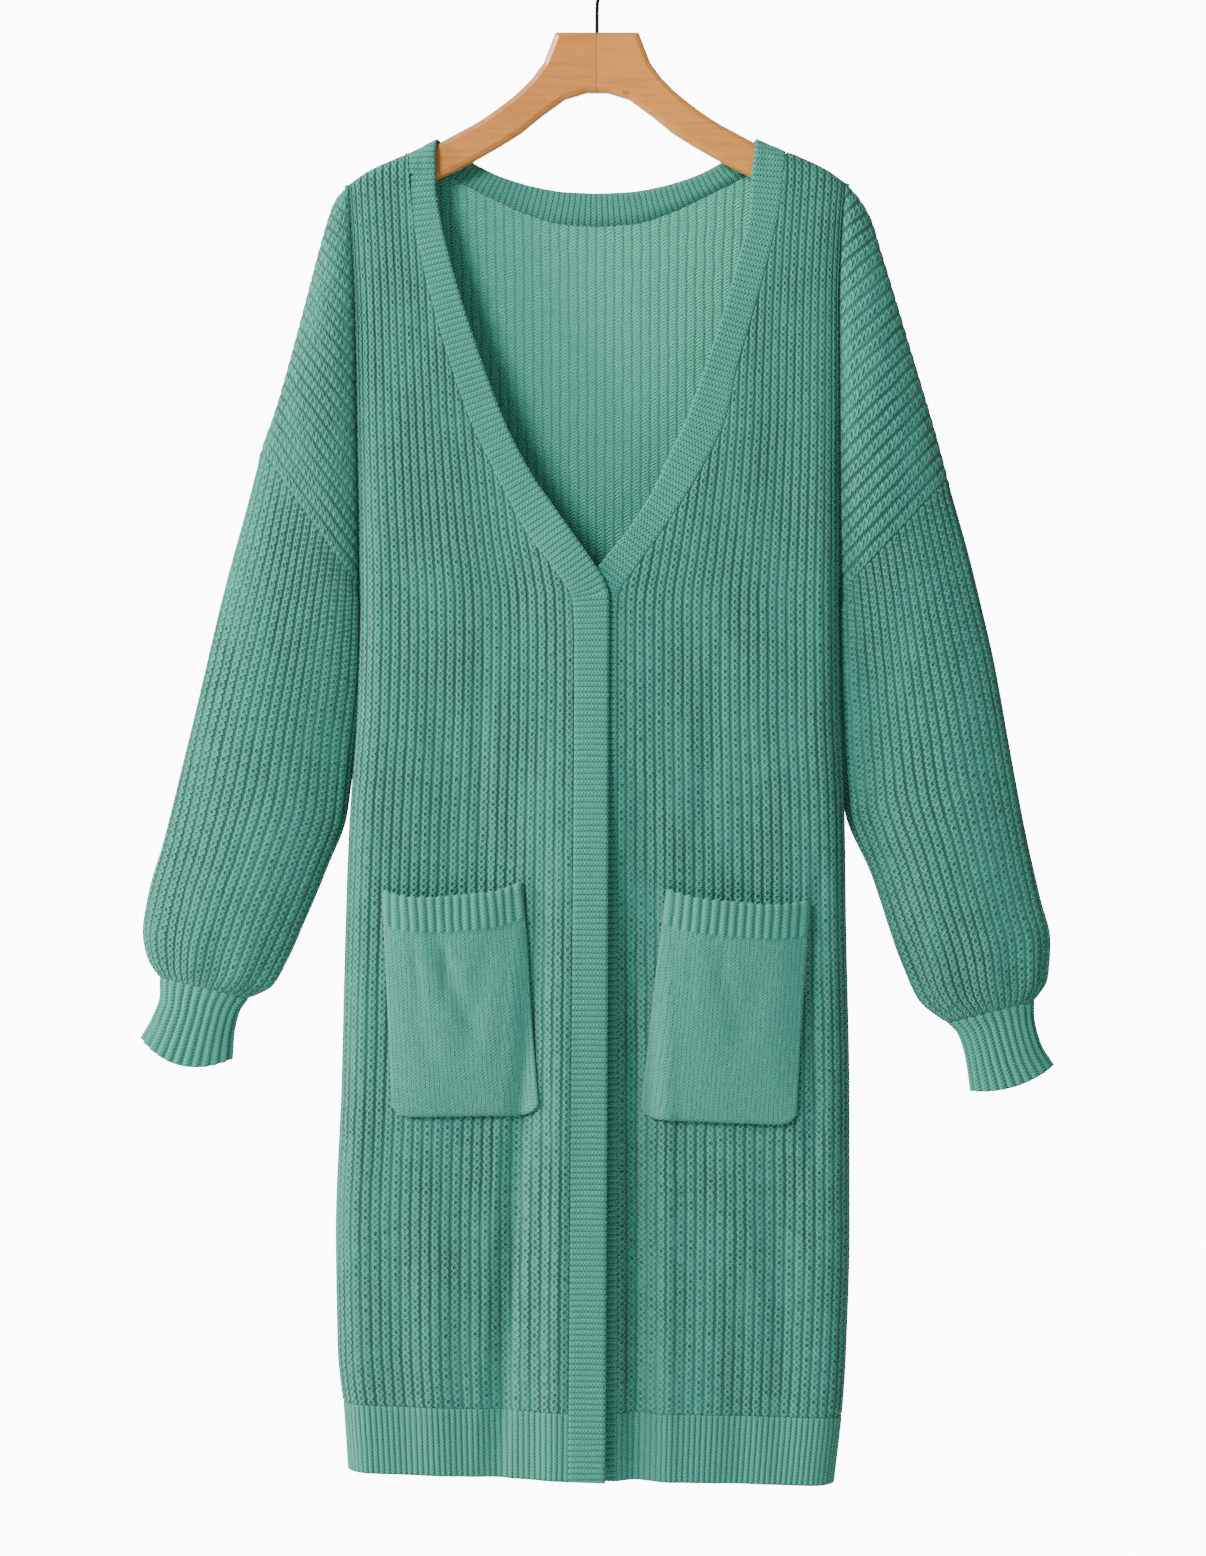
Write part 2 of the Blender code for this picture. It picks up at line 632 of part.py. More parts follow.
def half_panel(cloth, face, side, lapped, columns, centre_edge):
    """One side of a front or back, with its drop shoulder."""
    across, top, fine, relief, plain = columns
    point, normal = body_surface(face, lapped)
    shoulder = Shoulder(face, side)
    underarm = CREASE_ENDS[side][1]

    def column(share, relief, depth):
        rows, xs, zs = panel_column(across, top, share)
        ends = np.ones(len(rows))
        ends[0] = ends[-1] = 0
        out = normal(xs, zs)
        offset = (relief * ends if depth == 0 else np.full(len(rows), -depth))
        return line(rows, point(xs, zs) + out * offset[:, None])

    def side_column(shares, depth):
        """Down the side seam, then along the crease with a point at each share."""
        rows, xs, zs = panel_column(across, top, 1.0)
        low = zs < underarm - 8
        below = point(xs[low], zs[low]) - normal(xs[low], zs[low]) * depth
        crease = shoulder.inside_crease(shares) if depth else shoulder.point(0.0, shares)
        heights = shoulder.point(0.0, shares)[:, 2]
        at = np.interp(heights[::-1], zs, rows)
        at[-1] = 1
        return line(np.concatenate([rows[low], at]), np.concatenate([below, crease[::-1]])), low.sum()

    fine_rows = np.linspace(0, 1, 2 * SHOULDER_WALES + 1)
    plain_rows = np.linspace(0, 1, WING_INNER_ROWS + 1)

    outer_side, low = side_column(fine_rows, 0)
    inner_side, inner_low = side_column(plain_rows, WALL)
    outer = [column(s, r, 0) for s, r in zip(fine[:-1], relief)] + [outer_side]
    inner = [column(s, 0, WALL) for s in plain[:-1]] + [inner_side]
    inner_top = [column(s, 0, WALL)[1][-1] for s in fine[:-1]] + [inner_side[1][-1]]
    cloth.sheet(outer)
    cloth.sheet([line(c[0][:-1], c[1][:-1]) for c in inner])
    cloth.between(line(plain, [c[1][-2] for c in inner]), line(fine, inner_top))

    def rim(outer_points, outer_shares, inner_points, inner_shares):
        cloth.between(line(outer_shares, outer_points), line(inner_shares, inner_points))

    # Hem seam, then shoulder and neck, then the side seam below the crease
    rim([c[1][0] for c in outer], fine, [c[1][0] for c in inner], plain)
    rim([c[1][-1] for c in outer], fine, inner_top, fine)
    outer_low = [values[:low + 1] for values in outer_side]
    inner_low = [values[:inner_low + 1] for values in inner_side]
    cloth.between(line(*outer_low), line(*inner_low))
    if centre_edge:
        rim(outer[0][1], outer[0][0], inner[0][1], inner[0][0])

    # The drop shoulder runs on from the crease
    shoulder_relief = ridges(2 * SHOULDER_WALES, WALE_DEPTH)
    wing_outer = [line(fine_rows, shoulder.point(0.0, fine_rows))]
    for place in WING_SHARES[1:]:
        ends = 0 if place == 1 else 1
        surface = shoulder.point(place, fine_rows)
        surface = surface + shoulder.normal(place, fine_rows) * (shoulder_relief * ends)[:, None]
        wing_outer.append(line(fine_rows, surface))
    wing_inner = [line(plain_rows, shoulder.inside_crease(plain_rows))]
    for place in WING_INNER_SHARES[1:]:
        surface = shoulder.point(place, plain_rows) - shoulder.normal(place, plain_rows) * WALL
        surface[0] = wing_inner[0][1][0]
        wing_inner.append(line(plain_rows, surface))
    cloth.sheet(wing_outer)
    cloth.sheet(wing_inner)
    rim(wing_outer[-1][1], fine_rows, wing_inner[-1][1], plain_rows)
    rim([c[1][-1] for c in wing_outer], WING_SHARES, [c[1][-1] for c in wing_inner], WING_INNER_SHARES)


def front_panel(name, side):
    cloth = Cloth()
    half_panel(cloth, "front", side, side == -1, front_columns(side), True)
    return cloth.make(name, GREEN)


def back_panel(name):
    cloth = Cloth()
    for side in (-1, 1):
        half_panel(cloth, "back", side, False, back_columns(side), False)
    return cloth.make(name, GREEN)


def strip(name, point, normal, along, across, inner_across, colour):
    """A closed wall over a four-sided stretch of cloth: point(along, across) is its outside."""
    cloth = Cloth()
    outer = [line(along, point(along, place)) for place in across]
    inner = [line(along, point(along, place) - normal(along, place) * WALL) for place in inner_across]
    cloth.sheet(outer)
    cloth.sheet(inner)
    cloth.between(outer[0], inner[0])
    cloth.between(outer[-1], inner[-1])
    for end in (0, -1):
        outer_end = line(across, [column[1][end] for column in outer])
        inner_end = line(inner_across, [column[1][end] for column in inner])
        cloth.between(outer_end, inner_end)
    return cloth.make(name, colour)


def front_band(name, side):
    """From the shoulder seam down the V and the front edge to the hem, level across."""
    band = BANDS[side]
    point, normal = body_surface("front", side == -1)
    top, shares = front_columns(side)[1:3]
    neckline = top(shares)
    neckline = neckline[neckline < neckline.max() - SHOULDER_ROUND - 3]
    neckline = neckline[:np.argmax(neckline) + 1]
    heights = np.concatenate([BAND_ROWS, neckline, np.zeros(len(SHOULDER_DROPS))])
    drops = np.concatenate([np.zeros(len(heights) - len(SHOULDER_DROPS)), SHOULDER_DROPS[::-1]])
    rows = np.arange(len(heights))

    def place(along, across):
        """along counts the rows from the hem up; the last ones follow the shoulder seam."""
        z = heights[along]
        for _ in range(5):
            x = band("seam", z) + (band("free", z) - band("seam", z)) * across
            z = np.clip(heights[along], edge_height(x), shoulder_height(x) - drops[along])
        return x, z

    def surface(along, across):
        return point(*place(along, across))

    def outward(along, across):
        return normal(*place(along, across))

    return strip(name, surface, outward, rows, BAND_SHARES, BAND_SHARES, GREEN_BAND)


def neck_band(name):
    point, normal = body_surface("back")
    half = np.array(NECK_ROWS)
    along = np.concatenate([-half[::-1], half[1:]])

    def place(along, across):
        share = np.abs(along)
        seam_x, seam_z = NECK("seam", share), NECK("seam_height", share)
        x = (seam_x + (NECK("free", share) - seam_x) * across) * np.sign(along)
        z = seam_z + (NECK("free_height", share) - seam_z) * across
        return x, np.minimum(z, shoulder_height(x))

    def surface(along, across):
        return point(*place(along, across))

    def outward(along, across):
        return normal(*place(along, across))

    return strip(name, surface, outward, along, BAND_SHARES, BAND_SHARES, GREEN_BAND)


def hem(face, side):
    """Surface of the hem below a front panel or half of the back: by shares down and across."""
    point, normal = body_surface(face, face == "front" and side == -1)
    across = front_columns(side)[0] if face == "front" else back_columns(side)[0]

    def place(down, share):
        z = HEM_SEAM + (HEM_EDGE - HEM_SEAM) * down
        for _ in range(4):
            x = across(share, z)
            top = hem_height(x) - SEAM
            z = top + (edge_height(x) - top) * down
        return x, z

    def surface(down, share):
        return point(*place(down, share))

    def outward(down, share):
        return normal(*place(down, share))

    return surface, outward


def front_hem(name, side):
    surface, outward = hem("front", side)
    start = abs(BANDS[side]("seam", V_POINT[side])) + SEAM
    across = even_shares(start, HEM_COLUMNS["front"])
    return strip(name, surface, outward, np.array(HEM_ROWS), across, HEM_INNER_SHARES, GREEN)


def back_hem(name):
    sides = {side: hem("back", side) for side in (-1, 1)}
    half = even_shares(0.0, HEM_COLUMNS["back"])
    across = np.concatenate([-half[::-1], half[1:]])
    inner_half = np.array(HEM_INNER_SHARES)
    inner = np.concatenate([-inner_half[::-1], inner_half[1:]])

    def surface(down, share):
        return sides[-1 if share < 0 else 1][0](down, abs(share))

    def outward(down, share):
        return sides[-1 if share < 0 else 1][1](down, abs(share))

    return strip(name, surface, outward, np.array(HEM_ROWS), across, inner, GREEN)


def tube_angles(count, half_width, half_depth):
    """Angles round a section, at even steps along the cloth, starting at the outer edge."""
    turn = np.linspace(0, 2 * math.pi, 721)
    x, y = tube_section(turn)
    length = np.concatenate([[0], np.cumsum(np.hypot(np.diff(x) * half_width, np.diff(y) * half_depth))])
    return np.interp(np.linspace(0, length[-1], count + 1), length, turn)


def tube_section(turn):
    power = 2 / TUBE_SHAPE
    x = np.sign(np.cos(turn)) * np.abs(np.cos(turn)) ** power
    y = np.sign(np.sin(turn)) * np.abs(np.sin(turn)) ** power
    return x, y


def tube(name, table, side, shares, ribs, rib_depth, typical):
    """A sleeve or cuff: an open tube through the table's sections, ribbed outside and plain inside."""

    def section(share, turn, inset, relief):
        outer = np.array([side * float(table("outer", share)), float(table("outer_height", share))])
        inner = np.array([side * float(table("inner", share)), float(table("inner_height", share))])
        middle = (outer + inner) / 2
        half = np.linalg.norm(outer - inner) / 2
        run = (outer - inner) / (2 * half)
        down = np.array([run[1], -run[0]]) * (1 if run[0] > 0 else -1)
        x, y = tube_section(turn)
        wide = (half - inset + relief) * x
        deep = (float(table("depth", share)) - inset + relief) * y
        back = float(table("back", share)) if "back" in table.names else 0
        sag = float(table("sag", share)) * (1 - x ** 2) if "sag" in table.names else np.zeros(len(x))
        flat = middle + wide[:, None] * run + (sag + SEAM * (share == 0))[:, None] * down
        return np.stack([flat[:, 0], deep + back, flat[:, 1]], -1)

    cloth = Cloth()
    turn = tube_angles(2 * ribs, *typical)
    relief = np.where(np.arange(2 * ribs + 1) % 2 == 1, -rib_depth, 0.0)
    plain = tube_angles(TUBE_INNER_POINTS, *typical)
    outer = []
    for share in shares:
        ends = 0 if share in (shares[0], shares[-1]) else 1
        outer.append(line(turn, section(share, turn, 0, relief * ends)))
    inner = [line(plain, section(share, plain, WALL, 0)) for share in shares]
    cloth.sheet(outer)
    cloth.sheet(inner)
    cloth.between(outer[0], inner[0])
    cloth.between(outer[-1], inner[-1])
    return cloth.make(name, GREEN)


def sleeve(name, side):
    return tube(name, SLEEVES[side], side, SLEEVE_ROWS, SLEEVE_WALES, WALE_DEPTH, TYPICAL_SLEEVE)


def cuff(name, side):
    return tube(name, CUFFS[side], side, CUFF_ROWS, CUFF_RIBS, CUFF_RIB_DEPTH, TYPICAL_CUFF)


def pocket(name, side):
    """A patch pocket: its own outline on the panel's surface, standing off most at the open top."""
    shape = POCKETS[side]
    surface, outward = body_surface("front", side == -1)
    left_foot, right_foot = np.array(shape["left_foot"]), np.array(shape["right_foot"])
    left_top, right_top = np.array(shape["left_top"]), np.array(shape["right_top"])

    def place(up, across):
        foot = left_foot + (right_foot - left_foot) * across
        top = left_top + (right_top - left_top) * across
        foot = foot + np.array([0, POCKET_FOOT_CORNER]) * abs(2 * across - 1) ** 12
        top = top - np.array([0, shape["sag"]]) * (1 - abs(2 * across - 1) ** 3)
        spot = foot + (top - foot) * np.asarray(up, float)[:, None]
        return spot[:, 0], spot[:, 1]

    def bulge(up, across):
        rise = np.sqrt(np.clip(np.asarray(up, float) * 2.2, 0, 1))
        return POCKET_BULGE * (1 - abs(2 * across - 1) ** 3) * rise * (0.75 + 0.25 * np.asarray(up))

    def wall(up, across, outside):
        x, z = place(up, across)
        points = surface(x, z)
        away = outward(x, z)
        return points + away * (POCKET_CLEARANCE + bulge(up, across) + outside)[:, None]

    cloth = Cloth()
    rib_share = 1 - POCKET_RIB_HEIGHT / (left_top[1] - left_foot[1])
    rows = np.concatenate([np.linspace(0, rib_share, POCKET_ROWS), [rib_share + POCKET_RIB_START, 1.0]])
    count = 2 * POCKET_RIBS
    fine = np.linspace(0, 1, count + 1)
    relief = np.where(np.arange(count + 1) % 2 == 1, POCKET_RIB_DEPTH, 0.0)
    relief[0] = relief[-1] = 0
    plain = np.linspace(0, 1, POCKET_INNER_COLUMNS + 1)
    ribbed = rows[rows > rib_share]
    smooth = rows[rows <= rib_share + 1e-9]
    outer = [line(smooth, wall(smooth, a, POCKET_WALL + 0 * smooth)) for a in plain]
    top = [line(ribbed, wall(ribbed, a, POCKET_WALL + r + 0 * ribbed)) for a, r in zip(fine, relief)]
    inner = [line(rows, wall(rows, a, 0 * rows)) for a in plain]
    cloth.sheet(outer)
    cloth.sheet(top)
    cloth.sheet(inner)
    cloth.between(line(plain, [c[1][-1] for c in outer]), line(fine, [c[1][0] for c in top]))
    cloth.between(line(plain, [c[1][0] for c in outer]), line(plain, [c[1][0] for c in inner]))
    cloth.between(line(fine, [c[1][-1] for c in top]), line(plain, [c[1][-1] for c in inner]))
    for end in (0, -1):
        edge = line(rows, outer[end][1] + top[end][1])
        cloth.between(edge, inner[end])
    return cloth.make(name, GREEN_BAND)


def hanger_body(name):
    """A flat board of even thickness with rounded edges; its arms lie just inside the shoulders."""
    outline = []
    tip = HANGER_TIP - HANGER_TIP_LENGTH
    for side in (-1, 1):
        yoke = np.linspace(*NECK_OF_HANGER, 11)
        arm = np.linspace(NECK_OF_HANGER[1] + 12, tip, 4)
        room = ARM_CLEARANCE + TIP_CLEARANCE * ease((arm - TIP_CLEARANCE_FROM) / TIP_CLEARANCE_RUN)
        arm_heights = shoulder_height(side * arm) - WALL - room
        half = list(zip(yoke, HANGER_TOP("height", yoke))) + list(zip(arm, arm_heights))
        tip_foot = float(HANGER_FOOT("height", tip))
        middle = (arm_heights[-1] + tip_foot) / 2
        reach = (arm_heights[-1] - tip_foot) / 2
        for t in np.linspace(math.pi / 2, -math.pi / 2, 6)[1:-1]:
            half.append((tip + HANGER_TIP_LENGTH * math.cos(t), middle + reach * math.sin(t)))
        lower = np.linspace(tip, 8, 11)
        half += list(zip(lower, HANGER_FOOT("height", lower)))
        outline += [(side * x, z) for x, z in (half[::-1] if side < 0 else half)]
    curve = bpy.data.curves.new(name, "CURVE")
    curve.dimensions = "2D"
    curve.fill_mode = "BOTH"
    curve.extrude = (HANGER_HALF_THICKNESS - HANGER_ROUNDING) * MM
    curve.bevel_depth = HANGER_ROUNDING * MM
    curve.bevel_resolution = 1
    curve.offset = -HANGER_ROUNDING * MM
    spline = curve.splines.new("POLY")
    spline.points.add(len(outline) - 1)
    for spot, (x, z) in zip(spline.points, outline):
        spot.co = (x * MM, z * MM, 0, 1)
    spline.use_cyclic_u = True
    board = place(name, curve, WOOD, roughness=0.45)
    board.rotation_euler = (math.pi / 2, 0, 0)
    return board


def hanger_hook(name):
    """A wire hook: a straight shank, a short bend and most of a circle, all in one plane."""
    centre = -(HOOK_RADIUS - HOOK_WIRE)
    route = list(HOOK_SHANK)
    for t in np.radians(np.linspace(*HOOK_TURN, 22)):
        route.append((HOOK_RADIUS * math.cos(t), centre + HOOK_RADIUS * math.sin(t)))
    curve = bpy.data.curves.new(name, "CURVE")
    curve.dimensions = "3D"
    curve.bevel_depth = HOOK_WIRE * MM
    curve.bevel_resolution = 1
    curve.use_fill_caps = True
    spline = curve.splines.new("POLY")
    spline.points.add(len(route) - 1)
    for spot, (x, z) in zip(spline.points, route):
        spot.co = (x * MM, 0, z * MM, 1)
    return place(name, curve, BLACK, roughness=0.4, metallic=0.9)


def build():
    for thing in list(bpy.data.objects):
        bpy.data.objects.remove(thing, do_unlink=True)
    bpy.context.scene.collection.children.link(bpy.data.collections.new(GARMENT))
    hanger_body("hanger_body")
    hanger_hook("hanger_hook")
    front_panel("front_right", -1)
    front_panel("front_left", 1)
    back_panel("back")
    front_hem("hem_front_right", -1)
    front_hem("hem_front_left", 1)
    back_hem("hem_back")
    front_band("band_front_right", -1)
    front_band("band_front_left", 1)
    neck_band("band_back_neck")
    for side, word in ((-1, "right"), (1, "left")):
        sleeve("sleeve_" + word, side)
        cuff("cuff_" + word, side)
        pocket("pocket_" + word, side)


build()
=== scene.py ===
"""The look of a chunky-knit duster cardigan on a wooden hanger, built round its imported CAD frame.

Sizes are in millimetres, and MM turns them into metres, unless a heading says metres. X is to the
right as the front is seen, the front faces -Y, Z is up, and the origin is the inside of the hook's
top. Right and left in the pieces' names are the wearer's, so right is at -X.
"""
import math
from functools import cache

import bmesh
import bpy
import numpy as np
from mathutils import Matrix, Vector


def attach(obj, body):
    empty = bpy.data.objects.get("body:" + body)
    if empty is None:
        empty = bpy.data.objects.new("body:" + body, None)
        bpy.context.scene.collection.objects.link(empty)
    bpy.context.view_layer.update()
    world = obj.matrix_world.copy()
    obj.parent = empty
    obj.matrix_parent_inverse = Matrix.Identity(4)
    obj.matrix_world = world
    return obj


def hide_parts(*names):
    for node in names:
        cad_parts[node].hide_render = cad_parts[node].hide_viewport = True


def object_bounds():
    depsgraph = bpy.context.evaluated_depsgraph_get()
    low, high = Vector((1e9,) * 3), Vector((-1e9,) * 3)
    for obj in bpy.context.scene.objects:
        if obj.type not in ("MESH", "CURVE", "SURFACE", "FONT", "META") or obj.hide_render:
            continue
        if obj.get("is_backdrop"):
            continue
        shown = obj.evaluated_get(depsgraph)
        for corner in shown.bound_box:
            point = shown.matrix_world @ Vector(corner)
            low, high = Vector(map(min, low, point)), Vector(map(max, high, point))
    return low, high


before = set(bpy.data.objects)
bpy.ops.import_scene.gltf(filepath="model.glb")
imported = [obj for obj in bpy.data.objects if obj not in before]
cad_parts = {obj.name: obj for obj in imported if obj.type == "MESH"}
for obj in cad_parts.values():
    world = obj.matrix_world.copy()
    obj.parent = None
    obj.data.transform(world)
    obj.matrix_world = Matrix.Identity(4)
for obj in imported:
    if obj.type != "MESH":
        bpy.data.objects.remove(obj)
cad_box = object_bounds()

MM = 0.001

# Cloth and seams
WALL = 3.0
SEAM = 0.4
NECK_SEAM = 0.6
WALE = 7.1
COURSE = 5.0

# Where the right front laps over the left one: how far forward, from which height and how near the middle
OVERLAP = 3.8
OVERLAP_FROM = -400.0
OVERLAP_RUN = 80.0
SLACK_LAP = 7.0
SLACK_FROM = -600.0
SLACK_RUN = 160.0
LAP_SIDE = 75.0
LAP_WIDTH = 57.0

# Slight waves of the hanging cloth, which fade out towards the shoulders and the sides
LONG_WAVE = 0.9
SHORT_WAVE = 0.25
WAVES_FROM = -225.0
WAVES_RUN = 110.0
WAVES_SIDE = 172.0
WAVES_FADE = 30.0

# Relief of the knit, outwards from the CAD surface: ridges, furrows between them, and seams
RIDGE_RISE = 0.35
FURROW_DEPTH = 1.25
SPLIT_DEPTH = 0.35
SEAM_DEPTH = 0.9
SEAM_REACH = 3.0
OUTLINE_REACH = 9.0
OUTLINE_SHARE = 0.5
NECK_FADE = 6.0

# Points: columns for each wale or rib, and the step between rows
FRONT_PER_WALE = 6
BACK_PER_WALE = 4
FRONT_STEP = 2.5
BACK_STEP = 3.6
RIB_POINTS = 6
INSIDE_STEP = 4

# Body section: a crowned front and back that turn round to the side seams
CORNER = 20.0
CROWN = 0.1
TYPICAL_SIDE = 187.0
TYPICAL_DEPTH = 26.0
SHOULDER_ROUND = 14.0
SHOULDER_SHAPE = 2.6
WALES_LEAN = 0.3
TURN_DROPS = np.array([0.0, 0.25, 0.8, 1.8, 3.2, 5.0, 7.2, 10.0, SHOULDER_ROUND])
TURN_ROWS = len(TURN_DROPS) - 3

# Drop shoulder and sleeve
ARMHOLE_DEPTH = 20.0
TUBE_SHAPE = 2.2
SHOULDER_WALES = 24
SHOULDER_COLUMNS = 26
SHOULDER_SWELL = 0.7
SLEEVE_HUG = 4.5
SLEEVE_WALES = 38
SLEEVE_ROWS = 174
CUFF_RIBS = 24
CUFF_RIB_DEPTH = 1.5
CUFF_ROWS = 26

# Folds of a sleeve, by shares down it: gathers above the cuff, spiral troughs, and a hug of the body
GATHERS = 9
GATHER_DEPTH = 1.5
GATHER_SHIFT = 0.6
GATHERS_FROM = 0.8
GATHERS_RUN = 0.2
SPIRALS = 2
SPIRAL_LEAN = 2.5
SPIRAL_DEPTH = 1.3
SPIRAL_TOP_FADE = 0.25
SPIRAL_FOOT_FADE = 0.2
HUG_TOP_FADE = 0.05
HUG_UNTIL = 0.8
HUG_FOOT_FADE = 0.45
SLEEVE_SLACK = 0.9
TUBE_TOP_FADE = 0.03
TUBE_FOOT_FADE = 0.06

# Sizes of a typical section of each tube, half its width and half its depth
TYPICAL_SLEEVE = (66.0, 24.0)
TYPICAL_CUFF = (33.0, 15.0)

# Hem and bands
HEM_SEAM = -1138.0
HEM_EDGE = -1189.5
HEM_TILT = -0.028
HEM_ROWS = 22
HEM_RIB = 4.2
BAND_RIB = 4.4
BAND_COLUMNS = 10
BAND_FOOT_DROP = 6.0
BAND_TURN_DROP = 3.0
NECK_BAND_WIDTH = 26.0
BAND_TUCK = 0.045
HEM_TUCK = 0.015
TUBE_TUCK = 2.4
RIB_DEPTH = 0.75
HEAD_TOP = -80.0

# Pockets
POCKET_WALL = 2.4
POCKET_BULGE = 9.0
POCKET_CLEARANCE = 1.3
POCKET_RIBS = 16
POCKET_RIB_HEIGHT = 29.0
POCKET_RIB_DEPTH = 1.3
POCKET_RIB_START = 0.02
POCKET_FOOT_CORNER = 9.0
POCKET_SCALLOP = 1.6
SCALLOP_FROM = 0.93
SCALLOP_RUN = 0.07
SCALLOP_SIDE_FADE = 0.03
POCKET_RISE = 2.2
POCKET_FOOT_BULGE = 0.75
POCKET_SLACK = {-1: 1.0, 1: 0.4}
POCKET_SEAM_DEPTH = 0.5
POCKET_SEAM_SHARE = 0.012
POCKET_COLUMNS = 96
POCKET_ROWS = 112
FINE_WALE = 3.3
FINE_COURSE = 2.6

# Flat size of each cut in metres, all round on a tube
CUTS = {
    "front_right": (0.27, 0.97), "front_left": (0.285, 1.0), "back": (0.575, 0.98),
    "sleeve_right": (0.305, 0.42), "sleeve_left": (0.305, 0.42),
    "cuff_right": (0.165, 0.065), "cuff_left": (0.165, 0.065),
    "hem_front_right": (0.20, 0.059), "hem_front_left": (0.20, 0.059), "hem_back": (0.41, 0.057),
    "band_front_right": (0.03, 1.07), "band_front_left": (0.03, 1.07), "band_back_neck": (0.33, 0.027),
    "pocket_right": (0.12, 0.18), "pocket_left": (0.12, 0.18),
}

# Camera and light, with places and sizes in metres
PHOTO_HEIGHT = 1.198
PHOTO_MIDDLE = (0.0046, -0.6537)
CAMERA_DISTANCE = 3.0
FLOOR = -1.75
FLOOR_REACH = 2.1
AMBIENT = 0.32
BRIGHT_BEHIND = 12.0
BRIGHT_FROM = 0.935
BRIGHT_TO = 0.946
LIGHT_TARGET = (0, 0, -0.6)
KEY_PLACE = (-2.0, -2.5, 1.2)
KEY_SIZE = 1.0
KEY_POWER = 135.0
SIDE_PLACE = (-3.0, -0.7, 0.3)
SIDE_SIZE = 0.9
SIDE_POWER = 105.0

# Colours
YARN_LIGHT = (0.044, 0.365, 0.262)
YARN_INSIDE = (0.079, 0.55, 0.372)
# Dark end of the yarn colour: the painted shade of holes, gaps and furrows mixes towards it, and so does
# the random fuzz
YARN_DARK_AND_SHADE = (0.003, 0.066, 0.05)
WOOD_LIGHT = (0.78, 0.31, 0.05)
WOOD_DARK = (0.48, 0.15, 0.02)
WOOD_JOINT = (0.14, 0.06, 0.02)
WIRE_DARK = (0.008, 0.008, 0.009)
WIRE_LIGHT = (0.03, 0.03, 0.03)
KNOT = (22.0, -127.0)
KNOT_SIZE = (3.2, 2.1)


class Table:
    """Rows of named columns, read along the first one on a smooth curve with no overshoot."""

    def __init__(self, names, *rows):
        self.names = names.split()
        self.rows = np.array(sorted(rows), float)

    def __call__(self, name, at):
        key = self.rows[:, 0]
        value = self.rows[:, self.names.index(name)]
        step = np.diff(key)
        rise = np.diff(value) / step
        product = rise[1:] * rise[:-1]
        total = rise[1:] + rise[:-1]
        inner = np.where(product > 0, 2 * product / np.where(product > 0, total, 1), 0)
        slope = np.concatenate([rise[:1], inner, rise[-1:]])
        at = np.clip(np.asarray(at, float), key[0], key[-1])
        i = np.clip(np.searchsorted(key, at) - 1, 0, len(step) - 1)
        h = step[i]
        s = (at - key[i]) / h
        start = (1 + 2 * s) * (1 - s) ** 2 * value[i] + s * (1 - s) ** 2 * h * slope[i]
        end = s * s * (3 - 2 * s) * value[i + 1] - s * s * (1 - s) * h * slope[i + 1]
        return start + end


# Half-widths and depths of the body at each height, measured from the plane of the side seams
BODY = Table(
    "height left right front back",
    (-196, 191, 191, 12.5, 12.5),
    (-245, 188, 187.5, 17, 16),
    (-290, 186, 186, 20, 18),
    (-400, 184, 186, 25, 22),
    (-510, 182.5, 186.5, 28, 24),
    (-594, 184, 187, 29, 25),
    (-689, 190.6, 190.8, 29, 25),
    (-765, 193.5, 191.8, 29, 25),
    (-893, 196.8, 194.3, 29, 25),
    (-1000, 201, 194.5, 30, 26),
    (-1094, 199.5, 191.8, 30, 26),
    (-1138, 195, 189, 29, 25),
    (-1196, 191, 182.5, 30, 26),
)

# The shoulder line, from the middle out; inside the neck it only carries the slope on
SHOULDER = Table(
    "across left right",
    (0, -108, -107),
    (60, -134, -133),
    (123, -162, -161.5),
    (147, -173.5, -171.8),
    (176, -186.7, -185.2),
    (191, -197, -195.5),
)

# Outline of each drop shoulder, from the hanger's tip to the top of the armhole seam
OUTLINE = Table(
    "share left left_height right right_height",
    (0, 191, -197, 191, -195.5),
    (0.074, 201.7, -208.9, 202.2, -207.7),
    (0.147, 207.4, -223.6, 211.1, -223.1),
    (0.246, 213.3, -244, 218.4, -246.1),
    (0.592, 232.5, -316.4, 242.8, -327),
    (0.852, 247.9, -370.3, 260.9, -387.8),
    (1, 258.7, -400.3, 270.3, -422.7),
)

# Depth of the crease between body and drop shoulder, from the hanger's tip to the underarm
CREASE = Table("share depth", (0, 9), (0.3, 11), (0.65, 9.5), (0.86, 6), (1, 0))

# Heights of the two ends of that crease on each side
CREASE_ENDS = {-1: (-197.0, -507.4), 1: (-195.5, -513.5)}

